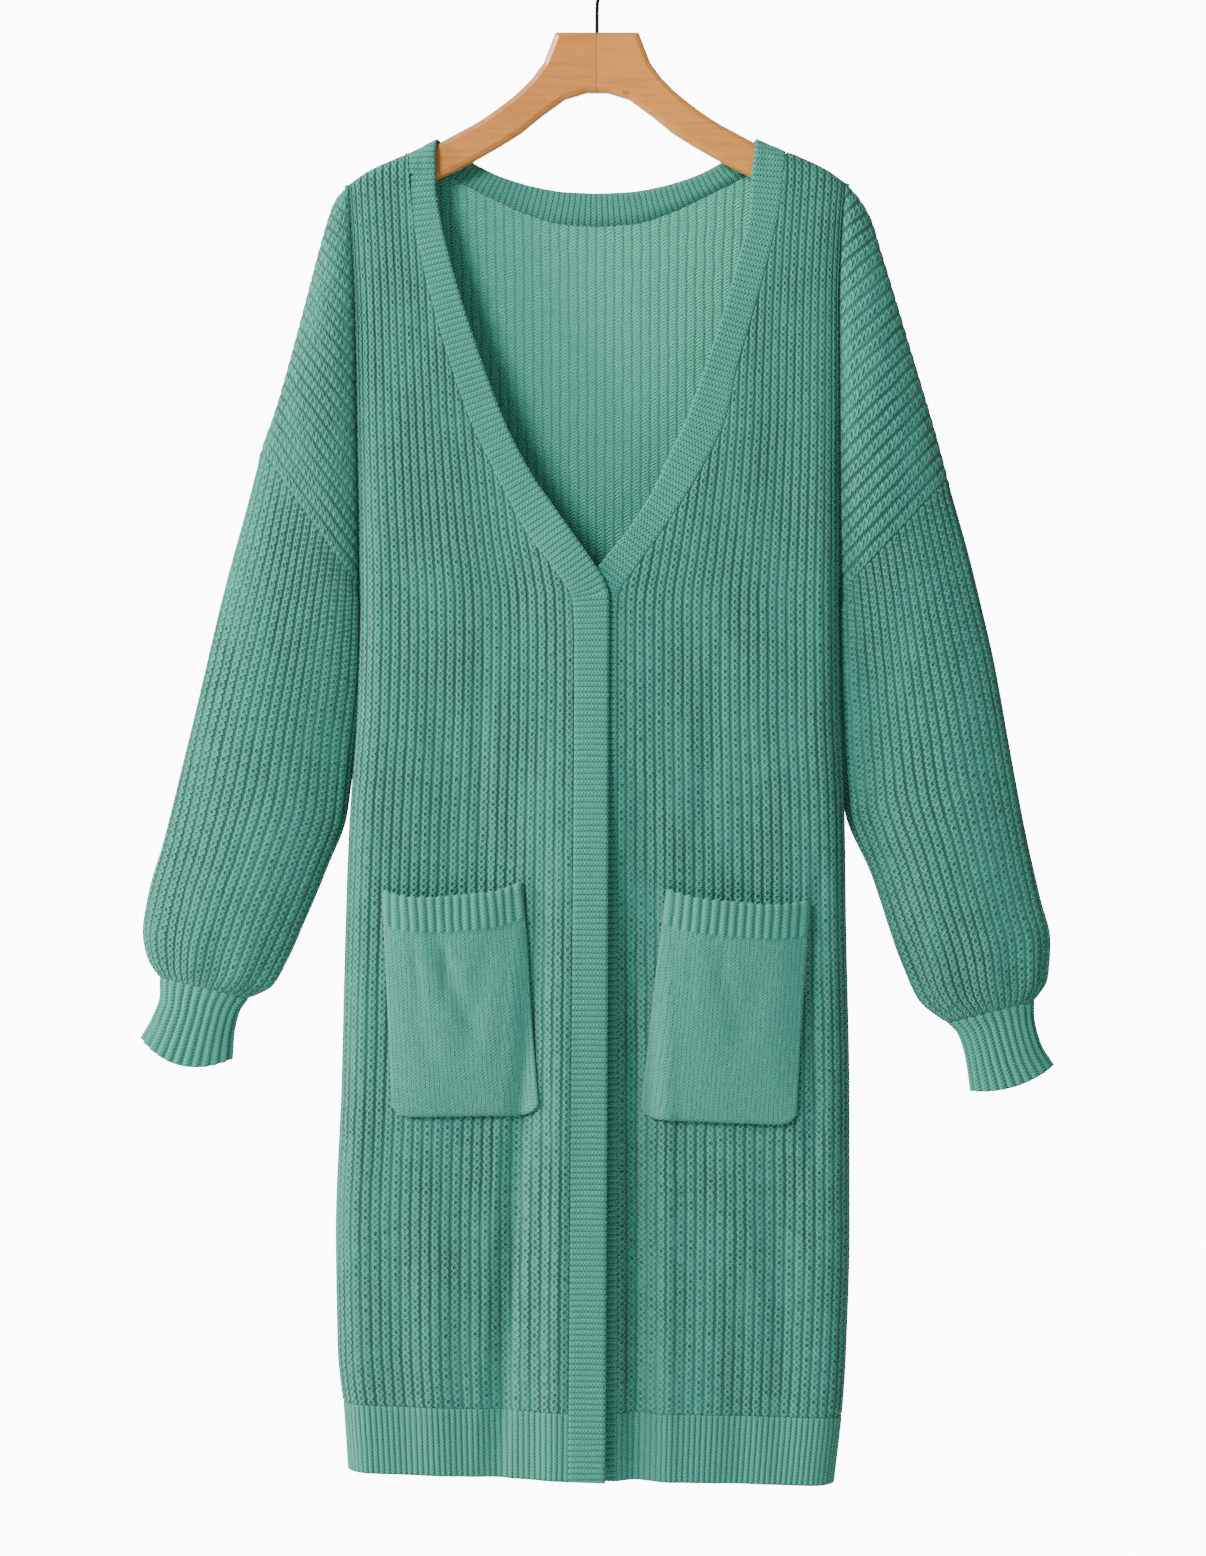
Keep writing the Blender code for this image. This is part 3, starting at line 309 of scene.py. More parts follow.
# Front bands: across places of the edge sewn to the panel and of the free edge
BAND_RIGHT = Table(
    "height seam free",
    (-161, -145, -124.1),
    (-195, -143, -124.1),
    (-229, -139.6, -119),
    (-265, -131.8, -110.2),
    (-313, -118.7, -95.4),
    (-378, -96.9, -71.8),
    (-421, -76.4, -50.1),
    (-442, -66, -35.8),
    (-466, -52.6, -18.8),
    (-491.7, -33.4, -1),
    (-503, -25.3, 5.7),
    (-516, -18.2, 9.2),
    (-531, -16.7, 9.3),
    (-547, -16.2, 9.2),
    (-900, -18.5, 8),
    (-1196, -21, 6.2),
)
BAND_LEFT = Table(
    "height seam free",
    (-161, 145, 122.5),
    (-189, 142.9, 118.8),
    (-218, 139.2, 117),
    (-257, 130.2, 107.8),
    (-296, 119.5, 97),
    (-343, 106, 81.2),
    (-378, 98, 68.5),
    (-413, 81.5, 52),
    (-433, 70, 43),
    (-464, 49.5, 23.6),
    (-492, 29.7, 0.9),
    (-515, 15.4, -15.2),
    (-531, 14.6, -15.5),
    (-1196, 14.6, -15.5),
)
BANDS = {-1: BAND_RIGHT, 1: BAND_LEFT}
V_POINT = {-1: -531.0, 1: -515.0}
NECK_CORNER = 145.0

# Band round the back of the neck, from its middle to the shoulder seam
NECK = Table(
    "share free free_height seam seam_height",
    (0, 0, -201.9, 0, -226.6),
    (0.2, 24, -200.8, 28, -224.8),
    (0.4, 49, -196.7, 55, -217.2),
    (0.6, 73, -189.7, 81, -205.5),
    (0.8, 96, -178.5, 108, -192.3),
    (1, 123, -161.0, NECK_CORNER, -171.5),
)

# Sleeves: outer and inner edge of each section, its half-depth and how far back it hangs
SLEEVES = {
    -1: Table(
        "share outer outer_height inner inner_height depth back",
        (0, 258.7, -400.3, 182.5, -507.4, ARMHOLE_DEPTH, 0),
        (0.13, 272.6, -455, 183.4, -538.2, 22, 2),
        (0.28, 288.8, -516.6, 184.6, -578.2, 24, 4),
        (0.44, 305.7, -582.1, 188.6, -628.3, 25, 5),
        (0.6, 322.6, -647.5, 192.3, -682.2, 26, 4),
        (0.74, 336.5, -705.3, 207.9, -726.8, 27, 3),
        (0.83, 345.7, -739.9, 224.1, -763.8, 26, 2),
        (0.91, 350, -772.2, 238.7, -796.1, 24, 1),
        (0.96, 346.5, -791.5, 251, -815.4, 20, 0),
        (1, 337.3, -806.9, 267.2, -823.1, 15, 0),
    ),
    1: Table(
        "share outer outer_height inner inner_height depth back",
        (0, 270.3, -422.7, 186.6, -513.5, ARMHOLE_DEPTH, 0),
        (0.13, 282.6, -466.6, 188, -547.4, 22, 2),
        (0.26, 295.7, -520.5, 188.8, -589.8, 24, 4),
        (0.39, 307.2, -566.7, 189.6, -632.1, 25, 5),
        (0.54, 319.6, -628.3, 191.9, -679.1, 26, 4),
        (0.7, 333.4, -701.4, 210.2, -729.1, 27, 3),
        (0.82, 342.7, -747.6, 224.8, -771.5, 26, 2),
        (0.9, 348.8, -778.4, 234.9, -799.2, 24, 1),
        (0.96, 346.5, -808.4, 247.2, -825.4, 20, 0),
        (1, 337.3, -824.6, 268.7, -842.3, 15, 0),
    ),
}
CUFFS = {
    -1: Table(
        "share outer outer_height inner inner_height depth sag",
        (0, 337.3, -806.9, 267.2, -823.1, 15, 0),
        (0.22, 336.9, -819.2, 274.9, -834.6, 14, 3),
        (0.6, 342.7, -836.9, 278.7, -851.6, 15, 8),
        (1, 351.9, -853.1, 279.9, -870, 16, 13),
    ),
    1: Table(
        "share outer outer_height inner inner_height depth sag",
        (0, 337.3, -824.6, 268.7, -842.3, 15, 0),
        (0.2, 336.9, -834.6, 277.2, -850.8, 14, 1),
        (0.6, 341.9, -856.9, 283.4, -870.8, 15, 3),
        (1, 352.2, -873.9, 286.7, -894.7, 16, 6),
    ),
}

# Patch pockets: places of the four corners and how far the middle of the top edge sags
POCKETS = {
    -1: {"left_top": (-164, -739.5), "right_top": (-56.2, -733), "left_foot": (-156.3, -912.5),
         "right_foot": (-43.1, -911), "sag": 8.0},
    1: {"left_top": (52.4, -738.4), "right_top": (161.7, -747.6), "left_foot": (35.4, -914),
        "right_foot": (152.5, -919), "sag": 6.0},
}

# How soon a fold reaches its depth from either end; a smaller power is sooner
FOLD_FADE = 0.8

# Folds: a line down the cloth, half-width and depth of each trough, or ridge if negative
FOLD_NAMES = ("face", "top", "foot", "top_height", "foot_height", "half_width", "depth")

# Slack folds of a pocket, in shares across and up it
POCKET_FOLDS = (
    ("pocket", 0.3, 0.62, 0.95, 0.3, 0.07, 2.4),
    ("pocket", 0.2, 0.24, 0.85, 0.45, 0.035, 1.5),
    ("pocket", 0.44, 0.4, 0.85, 0.5, 0.03, 1.3),
    ("pocket", 0.78, 0.5, 0.9, 0.2, 0.09, 1.7),
    ("pocket", 0.1, 0.34, 0.75, 0.1, 0.08, 1.2),
)

# Large folds of the body
FOLDS = (
    ("front", -40, -88, -690, -1290, 17, 6.0),
    ("front", -26, -38, -760, -1290, 14, -2.5),
    ("front", 25, 27, -690, -1300, 14, 7.0),
    ("front", 46, 50, -740, -1300, 17, -3.0),
    ("front", 170, 164, -700, -960, 11, 4.0),
    ("front", -128, -122, -960, -1290, 26, -3.0),
    ("front", 112, 108, -1020, -1300, 24, 3.0),
    ("front", -118, -96, -560, -760, 30, 2.5),
    ("front", 33, 35, -640, -1400, 23, 9.5),
    ("front", 140, 138, -930, -1230, 24, 3.0),
    ("front", -92, -86, -540, -750, 13, 2.0),
    ("front", -60, -78, -900, -1290, 9, 1.6),
    ("front", 166, 163, -730, -950, 7, 1.8),
    ("front", 88, 80, -560, -730, 18, 1.6),
    ("back", -92, -104, -420, -1290, 34, 5.0),
    ("back", -18, -10, -520, -1290, 30, -4.0),
    ("back", 62, 78, -460, -1290, 36, 5.5),
    ("back", 138, 132, -640, -1290, 24, 3.5),
)


def side_name(side):
    return {-1: "left", 1: "right"}[side]


def per_side(table, x, at):
    """A table's left or right column, by the sign of x."""
    return np.where(np.asarray(x) < 0, table("left", at), table("right", at))


def shoulder_height(x):
    return per_side(SHOULDER, x, np.abs(x))


def crease_depth(x, z):
    tips = np.where(np.asarray(x) < 0, CREASE_ENDS[-1][0], CREASE_ENDS[1][0])
    ends = np.where(np.asarray(x) < 0, CREASE_ENDS[-1][1], CREASE_ENDS[1][1])
    return CREASE("depth", np.clip((tips - z) / (tips - ends), 0, 1))


def fold_depth(face, x, z):
    total = np.zeros(np.broadcast(x, z).shape)
    for row in FOLDS:
        fold = dict(zip(FOLD_NAMES, row))
        if fold["face"] != face:
            continue
        run = (fold["top_height"] - z) / (fold["top_height"] - fold["foot_height"])
        middle = fold["top"] + (fold["foot"] - fold["top"]) * run
        along = np.sin(np.pi * np.clip(run, 0, 1)) ** FOLD_FADE
        across = np.clip(np.abs(x - middle) / fold["half_width"], 0, 1)
        total = total + fold["depth"] * along * (0.5 + 0.5 * np.cos(np.pi * across))
    return total


def soft_waves(face, x, z):
    """Slight unevenness of hanging cloth, none near the shoulders and the side seams."""
    phase = {"front": 0.0, "back": 2.0}[face]
    long_wave = np.sin(x / 23 + z / 210 + phase) * np.sin(z / 140 + x / 90 + 1.3 * phase)
    short_wave = np.sin(x / 9.5 - z / 75 + phase) * np.sin(z / 47 + x / 31)
    fade = ease((WAVES_FROM - z) / WAVES_RUN) * ease((WAVES_SIDE - np.abs(x)) / WAVES_FADE)
    return (LONG_WAVE * long_wave + SHORT_WAVE * short_wave) * fade


def body_depth(face, x, z):
    """How far the cloth of the body stands from the plane of the side seams."""
    side = per_side(BODY, x, z)
    reach = np.clip((np.abs(x) - side + CORNER) / CORNER, 0, 1)
    rounded = np.sqrt(1 - reach ** 2)
    edge = crease_depth(x, z)
    full = BODY(face, z) * (1 - CROWN * (x / side) ** 2) - fold_depth(face, x, z)
    full = full - soft_waves(face, x, z)
    drop = np.clip((shoulder_height(x) - z) / SHOULDER_ROUND, 0, 1)
    over = (1 - (1 - drop) ** SHOULDER_SHAPE) ** (1 / SHOULDER_SHAPE)
    return SEAM / 2 + over * (edge + (full - edge) * rounded)


def ease(share):
    share = np.clip(share, 0, 1)
    return share * share * (3 - 2 * share)


def right_front_lift(x, z):
    """The wearer's right front stands forward near the middle, where it laps over the left one."""
    forward = OVERLAP * ease((OVERLAP_FROM - z) / OVERLAP_RUN)
    forward = forward + SLACK_LAP * ease((SLACK_FROM - z) / SLACK_RUN)
    return forward * ease((x + LAP_SIDE) / LAP_WIDTH)


def body_points(face, lapped, x, z):
    """Points on the outside of the body's cloth."""
    sign = {"front": -1, "back": 1}[face]
    x, z = np.broadcast_arrays(np.asarray(x, float), np.asarray(z, float))
    lift = right_front_lift(x, z) if lapped else 0
    return np.stack([x, sign * (body_depth(face, x, z) + lift), z], -1)


def even_shares(start, count):
    """Shares of the way from start to the side seam, at even steps along the cloth."""
    turn = np.linspace(0, math.pi / 2, 60)
    across = np.concatenate([[start], TYPICAL_SIDE - CORNER + CORNER * np.sin(turn)])
    out = np.concatenate([[TYPICAL_DEPTH], TYPICAL_DEPTH * np.cos(turn)])
    length = np.concatenate([[0], np.cumsum(np.hypot(np.diff(across), np.diff(out)))])
    places = np.interp(np.linspace(0, length[-1], count + 1), length, across)
    return (places - start) / (TYPICAL_SIDE - start)


def wale_count(start):
    """Half wales between start and the side seam, an even number."""
    turn = np.linspace(0, math.pi / 2, 60)
    corner = np.sum(np.hypot(np.diff(CORNER * np.sin(turn)), np.diff(TYPICAL_DEPTH * np.cos(turn))))
    return 2 * round((TYPICAL_SIDE - CORNER - start + corner) / WALE)


def front_columns(side):
    """Where each column of the front crosses a height, and the height of its top."""
    band = BANDS[side]
    point_height = V_POINT[side]

    def across(share, z):
        seam = np.abs(band("seam", z)) + NECK_SEAM
        start = np.abs(band("seam", point_height)) + NECK_SEAM
        inner = np.where(z > point_height, start + WALES_LEAN * (seam - start), seam)
        return side * (inner + (BODY(side_name(side), z) - inner) * share)

    climb = np.linspace(point_height, shoulder_height(side * NECK_CORNER), 120)
    start = np.abs(across(0.0, climb))
    seam = np.abs(band("seam", climb)) + NECK_SEAM
    neck_shares = np.maximum.accumulate((seam - start) / (BODY(side_name(side), climb) - start))
    out = np.linspace(NECK_CORNER + NECK_SEAM, OUTLINE(side_name(side), 0), 40)
    rise = shoulder_height(side * out)
    inner = np.abs(across(0.0, rise))
    shoulder_shares = (out - inner) / (OUTLINE(side_name(side), 0) - inner)
    shares = np.concatenate([neck_shares, shoulder_shares[1:]])
    heights = np.concatenate([climb, rise[1:]])

    def top(share):
        return np.interp(share, shares, heights)

    return across, top


def back_columns(side):
    def across(share, z):
        return side * BODY(side_name(side), z) * share

    def top(share):
        shares = np.linspace(0, 1, 200)
        height = HEAD_TOP
        for _ in range(5):
            place = np.abs(across(share, height))
            neck = np.interp(place, NECK("seam", shares), NECK("seam_height", shares)) - NECK_SEAM
            height = np.minimum(np.where(place < NECK_CORNER, neck, 0), shoulder_height(side * place))
        return height

    return across, top


def hem_height(x):
    return HEM_SEAM + HEM_TILT * x


def edge_height(x):
    return HEM_EDGE + HEM_TILT * x


def piece_normals(points, sign):
    """Outward directions at a grid of points. sign is 1 where rows up and columns across turn outward."""
    down = np.gradient(points, axis=0)
    across = np.gradient(points, axis=1)
    normal = np.cross(across, down) * sign
    length = np.linalg.norm(normal, axis=-1, keepdims=True)
    return normal / np.maximum(length, 1e-9)


def from_edges(shape, reach_rows, reach_columns, edges):
    """How far into a grid each point is, from 0 on an edge to 1. edges names those that count."""
    rows = np.arange(shape[0], dtype=float)[:, None]
    columns = np.arange(shape[1], dtype=float)[None, :]
    near = np.ones(shape)
    if "low" in edges:
        near = near * ease(rows / reach_rows)
    if "high" in edges:
        near = near * ease((shape[0] - 1 - rows) / reach_rows)
    if "first" in edges:
        near = near * ease(columns / reach_columns)
    if "last" in edges:
        near = near * ease((shape[1] - 1 - columns) / reach_columns)
    return near


def wale_relief(wale, near, dip):
    """Height of the cloth's outside: a rounded ridge for each wale and furrows between. near fades
    them, and dip is how far the cloth is drawn in at a seam, from 0 to 1."""
    furrow = (0.5 + 0.5 * np.cos(2 * np.pi * wale)) ** 2
    split = (0.5 - 0.5 * np.cos(2 * np.pi * wale)) ** 8
    height = RIDGE_RISE - FURROW_DEPTH * furrow - SPLIT_DEPTH * split
    return height * near - SEAM_DEPTH * dip


def rib_relief(rib, depth, near):
    """Height of a fine rib's outside: 0 on top of each rib, and a furrow between."""
    furrow = (0.5 + 0.5 * np.cos(2 * np.pi * rib)) ** 1.3
    return -depth * furrow * near - 0.5 * SEAM_DEPTH * (1 - near)


def flat_area(points):
    """Area of a grid of points, in square metres."""
    step_down = points[1:, :-1] - points[:-1, :-1]
    step_across = points[:-1, 1:] - points[:-1, :-1]
    return np.linalg.norm(np.cross(step_down, step_across), axis=-1).sum() * MM * MM


class Cloth:
    """Faces of one piece, gathered from grids of points and sewn up where the points meet."""

    def __init__(self):
        self.points = []
        self.loops = []
        self.sizes = []
        self.uvs = []
        self.finishes = []
        self.count = 0
        self.area = 0.0

    def add(self, points):
        numbers = self.count + np.arange(points.shape[0] * points.shape[1]).reshape(points.shape[:2])
        self.points.append(points.reshape(-1, 3))
        self.count += numbers.size
        return numbers

    def grid(self, points, uv, finish=0):
        """A four-sided face between each four neighbours. uv counts wales and courses."""
        numbers = self.add(points)
        corners = [(slice(None, -1), slice(None, -1)), (slice(None, -1), slice(1, None)),
                   (slice(1, None), slice(1, None)), (slice(1, None), slice(None, -1))]
        faces = np.stack([numbers[c] for c in corners], -1).reshape(-1, 4)
        self.loops.append(faces.ravel())
        self.sizes.append(np.full(len(faces), 4))
        self.uvs.append(np.stack([uv[c] for c in corners], 2).reshape(-1, 2))
        self.finishes.append(np.full(len(faces), finish))

    def inside(self, points, uv, finish):
        """Wide faces that still meet every point of their border."""
        numbers = self.add(points)
        last_row, last_column = points.shape[0] - 1, points.shape[1] - 1
        rows = np.append(np.arange(0, last_row, INSIDE_STEP), last_row)
        columns = np.append(np.arange(0, last_column, INSIDE_STEP), last_column)
        flat_uv = uv.reshape(-1, 2)
        first = numbers[0, 0]
        for r0, r1 in zip(rows, rows[1:]):
            for c0, c1 in zip(columns, columns[1:]):
                low = range(c0, c1 + 1) if r0 == 0 else (c0, c1)
                high = range(c1, c0 - 1, -1) if r1 == last_row else (c1, c0)
                right = range(r0 + 1, r1) if c1 == last_column else ()
                left = range(r1 - 1, r0, -1) if c0 == 0 else ()
                ring = [numbers[r0, c] for c in low] + [numbers[r, c1] for r in right]
                ring += [numbers[r1, c] for c in high] + [numbers[r, c0] for r in left]
                self.loops.append(np.array(ring))
                self.sizes.append(np.array([len(ring)]))
                self.uvs.append(flat_uv[np.array(ring) - first])
                self.finishes.append(np.array([finish]))

    def rim(self, outer, inner, uv, finish=0):
        """The edge of the wall, between a line of its outside and the same line of its inside."""
        self.grid(np.stack([outer, inner]), np.stack([uv, uv]), finish)

    def wall(self, surface, outer, inner, uv, rims, finish=0, inside_finish=None):
        """Outside, inside and the named edges of one stretch of cloth."""
        self.area += flat_area(surface)
        self.grid(outer, uv, finish)
        self.inside(inner, uv, finish if inside_finish is None else inside_finish)
        lines = {"low": np.s_[0, :], "high": np.s_[-1, :], "first": np.s_[:, 0], "last": np.s_[:, -1]}
        for name in rims:
            self.rim(outer[lines[name]], inner[lines[name]], uv[lines[name]], finish)

    def make(self, name, *finishes):
        mesh = bpy.data.meshes.new(name)
        points = np.concatenate(self.points) * MM
        loops = np.concatenate(self.loops)
        sizes = np.concatenate(self.sizes)
        mesh.vertices.add(len(points))
        mesh.vertices.foreach_set("co", points.ravel())
        mesh.loops.add(len(loops))
        mesh.loops.foreach_set("vertex_index", loops)
        mesh.polygons.add(len(sizes))
        mesh.polygons.foreach_set("loop_start", np.concatenate([[0], np.cumsum(sizes)[:-1]]))
        mesh.polygons.foreach_set("material_index", np.concatenate(self.finishes))
        mesh.update(calc_edges=True)
        layer = mesh.uv_layers.new(name="stitches")
        layer.data.foreach_set("uv", np.concatenate(self.uvs).ravel())
        solid = bmesh.new()
        solid.from_mesh(mesh)
        bmesh.ops.remove_doubles(solid, verts=solid.verts, dist=0.01 * MM)
        bmesh.ops.dissolve_degenerate(solid, edges=solid.edges, dist=0.005 * MM)
        loose = [vertex for vertex in solid.verts if not vertex.link_faces]
        bmesh.ops.delete(solid, geom=loose, context="VERTS")
        bmesh.ops.recalc_face_normals(solid, faces=solid.faces)
        solid.to_mesh(mesh)
        solid.free()
        mesh.shade_smooth()
        piece = bpy.data.objects.new(name, mesh)
        for finish in finishes:
            mesh.materials.append(finish)
        bpy.context.scene.collection.objects.link(piece)
        return piece


class Shoulder:
    """One face of a drop shoulder, between the crease beside the body and its own outline."""

    def __init__(self, face, side):
        self.sign = {"front": -1, "back": 1}[face]
        self.face = face
        self.side = side

    def crease(self, share):
        tip, underarm = CREASE_ENDS[self.side]
        height = tip + (underarm - tip) * np.asarray(share, float)
        name = side_name(self.side)
        to_tip = OUTLINE(name, 0) - BODY(name, tip)
        to_underarm = SLEEVES[self.side]("inner", 0) - BODY(name, underarm)
        across = BODY(name, height) + to_tip * (1 - share) + to_underarm * share
        return self.side * across, height

    def point(self, across, share):
        """across runs from the crease, 0, to the outline, 1; share from the tip to the armhole."""
        across, share = np.broadcast_arrays(np.asarray(across, float), np.asarray(share, float))
        crease_x, crease_z = self.crease(share)
        name = side_name(self.side)
        edge_x = self.side * OUTLINE(name, share)
        edge_z = OUTLINE(name + "_height", share)
        valley = np.abs(body_points(self.face, False, crease_x, crease_z)[..., 1])
        lobe = (1 - np.abs(2 * across - 1) ** TUBE_SHAPE) ** (1 / TUBE_SHAPE)
        fall = np.sqrt(1 - across ** 2)
        depth = SEAM / 2 + (valley - SEAM / 2) * fall + ARMHOLE_DEPTH * share ** SHOULDER_SWELL * lobe
        x = crease_x + (edge_x - crease_x) * across
        z = crease_z + (edge_z - crease_z) * across
        return np.stack([x, self.sign * depth, z], -1)


def panel_places(face, side, columns, shares, step):
    """Places of one side of a front or back, their heights, and the number of the row at the underarm."""
    across, top = columns
    count = round((CREASE_ENDS[-1][0] - HEM_SEAM) / step)
    high = top(shares)
    foot = hem_height(across(shares, HEM_SEAM))
    rise = np.linspace(0, 1, count + 1)[:, None]
    heights = foot + (high - TURN_DROPS[-1] - foot) * rise
    heights = np.vstack([heights, high - TURN_DROPS[-2::-1, None]])
    underarm = CREASE_ENDS[side][1]
    first = int(np.argmax(heights[:, -1] >= underarm))
    heights[first, -1] = underarm
    lapped = face == "front" and side == -1
    return body_points(face, lapped, across(shares[None, :], heights), heights), heights, first


def panel_normals(surface, outward, side, first, centre_edge):
    """Outward directions, sideways at the side seam and straight back in the middle of the back."""
    normal = piece_normals(surface, outward)
    normal[:, -1] = normal[:, -2]
    normal[:first, -1] = (side, 0.0, 0.0)
    if not centre_edge:
        normal[:, 0, 0] = 0
        normal[:, 0] /= np.linalg.norm(normal[:, 0], axis=-1, keepdims=True)
    return normal


def panel_seams(surface, reach, reach_across, down_crease, centre_edge):
    """The share of the wales' relief left near edges, and how far real seams draw the cloth in."""
    shape = surface.shape[:2]
    seams = from_edges(shape, reach, reach_across, "low first" if centre_edge else "low")
    top_near = from_edges(shape, TURN_ROWS, reach_across, "high")
    side_near = from_edges(shape, reach, reach_across, "last")
    at_neck = ease((NECK_CORNER + NECK_FADE - np.abs(surface[-1, :, 0])) / NECK_FADE)
    dip = 1 - seams * (1 - (1 - top_near) * at_neck) * (1 - (1 - side_near) * down_crease)
    return seams * top_near * side_near, dip


def wing_normals(wing, outward):
    """Outward directions of a drop shoulder, flat and sideways at its outline."""
    normal = piece_normals(wing, outward)
    flat_run = wing[:, -1] - wing[:, 0]
    flat_run[:, 1] = 0
    normal[:, -1] = flat_run / np.maximum(np.linalg.norm(flat_run, axis=-1, keepdims=True), 1e-9)
    normal[-2:] = normal[-3]
    return normal


def wing_seams(shape, reach, places, length, crease_shares):
    """The same two values as panel_seams gives, for a drop shoulder."""
    armhole = from_edges(shape, reach, 1.0, "low")
    from_crease = ease(places * length / SEAM_REACH)
    from_outline = ease((1 - places) * length / OUTLINE_REACH)
    near = armhole * from_crease * (OUTLINE_SHARE + (1 - OUTLINE_SHARE) * from_outline)
    near = near * from_edges(shape, TURN_ROWS, 1.0, "high")
    return near, 1 - armhole * (1 - (1 - from_crease) * crease_shares)


def half_panel(cloth, face, side, start, per_wale, step):
    """One side of a front or back, with its drop shoulder."""
    front = face == "front"
    columns = front_columns(side) if front else back_columns(side)
    shares = even_shares(start, wale_count(start) // 2 * per_wale)
    surface, heights, first = panel_places(face, side, columns, shares, step)

    # The drop shoulder starts on the same points of the crease
    tip, underarm = CREASE_ENDS[side]
    down_crease = np.clip((tip - heights) / (tip - underarm), 0, 1)
    crease_shares = down_crease[first:, -1:]
    places = (1 - np.cos(np.linspace(0, np.pi, SHOULDER_COLUMNS + 1))) / 2
    wing = Shoulder(face, side).point(places[None, :], crease_shares)
    surface[first:, -1] = wing[:, 0]

    outward = side if front else -side
    reach = SEAM_REACH / step
    normal = panel_normals(surface, outward, side, first, front)
    near, dip = panel_seams(surface, reach, SEAM_REACH * per_wale / WALE, down_crease, front)
    wale = np.broadcast_to(np.arange(len(shares)) / per_wale, near.shape)
    uv = np.stack([wale, heights / COURSE], -1)
    outer = surface + normal * wale_relief(wale, near, dip)[..., None]
    inner = surface - normal * WALL

    wing_normal = wing_normals(wing, outward)
    length = np.linalg.norm(wing[:, -1] - wing[:, 0], axis=-1)[:, None]
    near, dip = wing_seams(wing.shape[:2], reach, places, length, crease_shares)
    wale = np.broadcast_to(crease_shares * SHOULDER_WALES, near.shape)
    wing_uv = np.stack([wale, places * length / COURSE], -1)
    wing_outer = wing + wing_normal * wale_relief(wale, near, dip)[..., None]
    wing_inner = wing - wing_normal * WALL

    # Both sheets share the crease, outside and inside
    outer[first:, -1] = wing_outer[:, 0]
    inner[first:, -1] = wing_inner[:, 0]
    cloth.wall(surface, outer, inner, uv, ["low", "high"] + (["first"] if front else []), 0, 1)
    cloth.rim(outer[:first + 1, -1], inner[:first + 1, -1], uv[:first + 1, -1])
    cloth.wall(wing, wing_outer, wing_inner, wing_uv, ["low", "last"], 0, 1)


def front_start(side, seam):
    """How far from the middle a front's first wale is, below the V."""
    return abs(float(BANDS[side]("seam", V_POINT[side]))) + seam


def front_panel(name, side):
    cloth = Cloth()
    half_panel(cloth, "front", side, front_start(side, NECK_SEAM), FRONT_PER_WALE, FRONT_STEP)
    return cloth.make(name, body_knit(), inside_knit()), cloth.area


def back_panel(name):
    cloth = Cloth()
    for side in (-1, 1):
        half_panel(cloth, "back", side, 0.0, BACK_PER_WALE, BACK_STEP)
    return cloth.make(name, body_knit(), inside_knit()), cloth.area


def strip(name, surface, sign, uv, relief, finish):
    """A closed wall over a four-sided stretch of cloth."""
    cloth = Cloth()
    normal = piece_normals(surface, sign)
    outer = surface + normal * relief[..., None]
    cloth.wall(surface, outer, surface - normal * WALL, uv, ["low", "high", "first", "last"])
    return cloth.make(name, finish), cloth.area


def even_along(values, places, count):
    """count + 1 of the values, at even steps along the line through places."""
    length = np.concatenate([[0], np.cumsum(np.linalg.norm(np.diff(places, axis=0), axis=1))])
    return np.interp(np.linspace(0, length[-1], count + 1), length, values), length[-1]


def front_band(name, side):
    """From the shoulder seam down the V and the front edge to the hem, level across."""
    band = BANDS[side]
    corner = float(shoulder_height(side * NECK_CORNER))
    start, end = HEM_EDGE - BAND_FOOT_DROP, corner - SHOULDER_ROUND - BAND_TURN_DROP
    fine = np.linspace(start, end, 2000)
    middle = (band("seam", fine) + band("free", fine)) / 2
    line = np.stack([middle, fine], -1)
    length = even_along(fine, line, 1)[1]
    count = round(length / BAND_RIB * RIB_POINTS)
    heights = even_along(fine, line, count)[0]
    rows = np.concatenate([heights, np.zeros(len(TURN_DROPS))])[:, None]
    drops = np.concatenate([np.zeros(len(heights)), TURN_DROPS[::-1]])[:, None]
    across = np.linspace(-BAND_TUCK, 1, BAND_COLUMNS + 1)[None, :]
    z = rows + 0 * across
    for _ in range(5):
        x = band("seam", z) + (band("free", z) - band("seam", z)) * across
        z = np.clip(rows, edge_height(x), shoulder_height(x) - drops)
    surface = body_points("front", side == -1, x, z)

    # Ribs run square across the band, also where it slants along the V
    along = np.interp(z, heights, np.linspace(0, length, count + 1))
    along = along + np.maximum(z - end, 0) + np.maximum(start - z, 0)
    slope = np.interp(z, fine, np.gradient(middle, fine))
    mid_x = np.interp(z, fine, middle)
    along = along + (x - mid_x) * slope / np.sqrt(1 + slope ** 2)
    rib = along / BAND_RIB
    width = np.abs(band("free", z) - band("seam", z)) / np.sqrt(1 + slope ** 2)
    uv = np.stack([rib, across * width / FINE_COURSE], -1)
    near = from_edges(surface.shape[:2], 3, 1.6, "high first last")
    relief = rib_relief(rib, RIB_DEPTH, near)
    return strip(name, surface, -side, uv, relief, rib_knit())


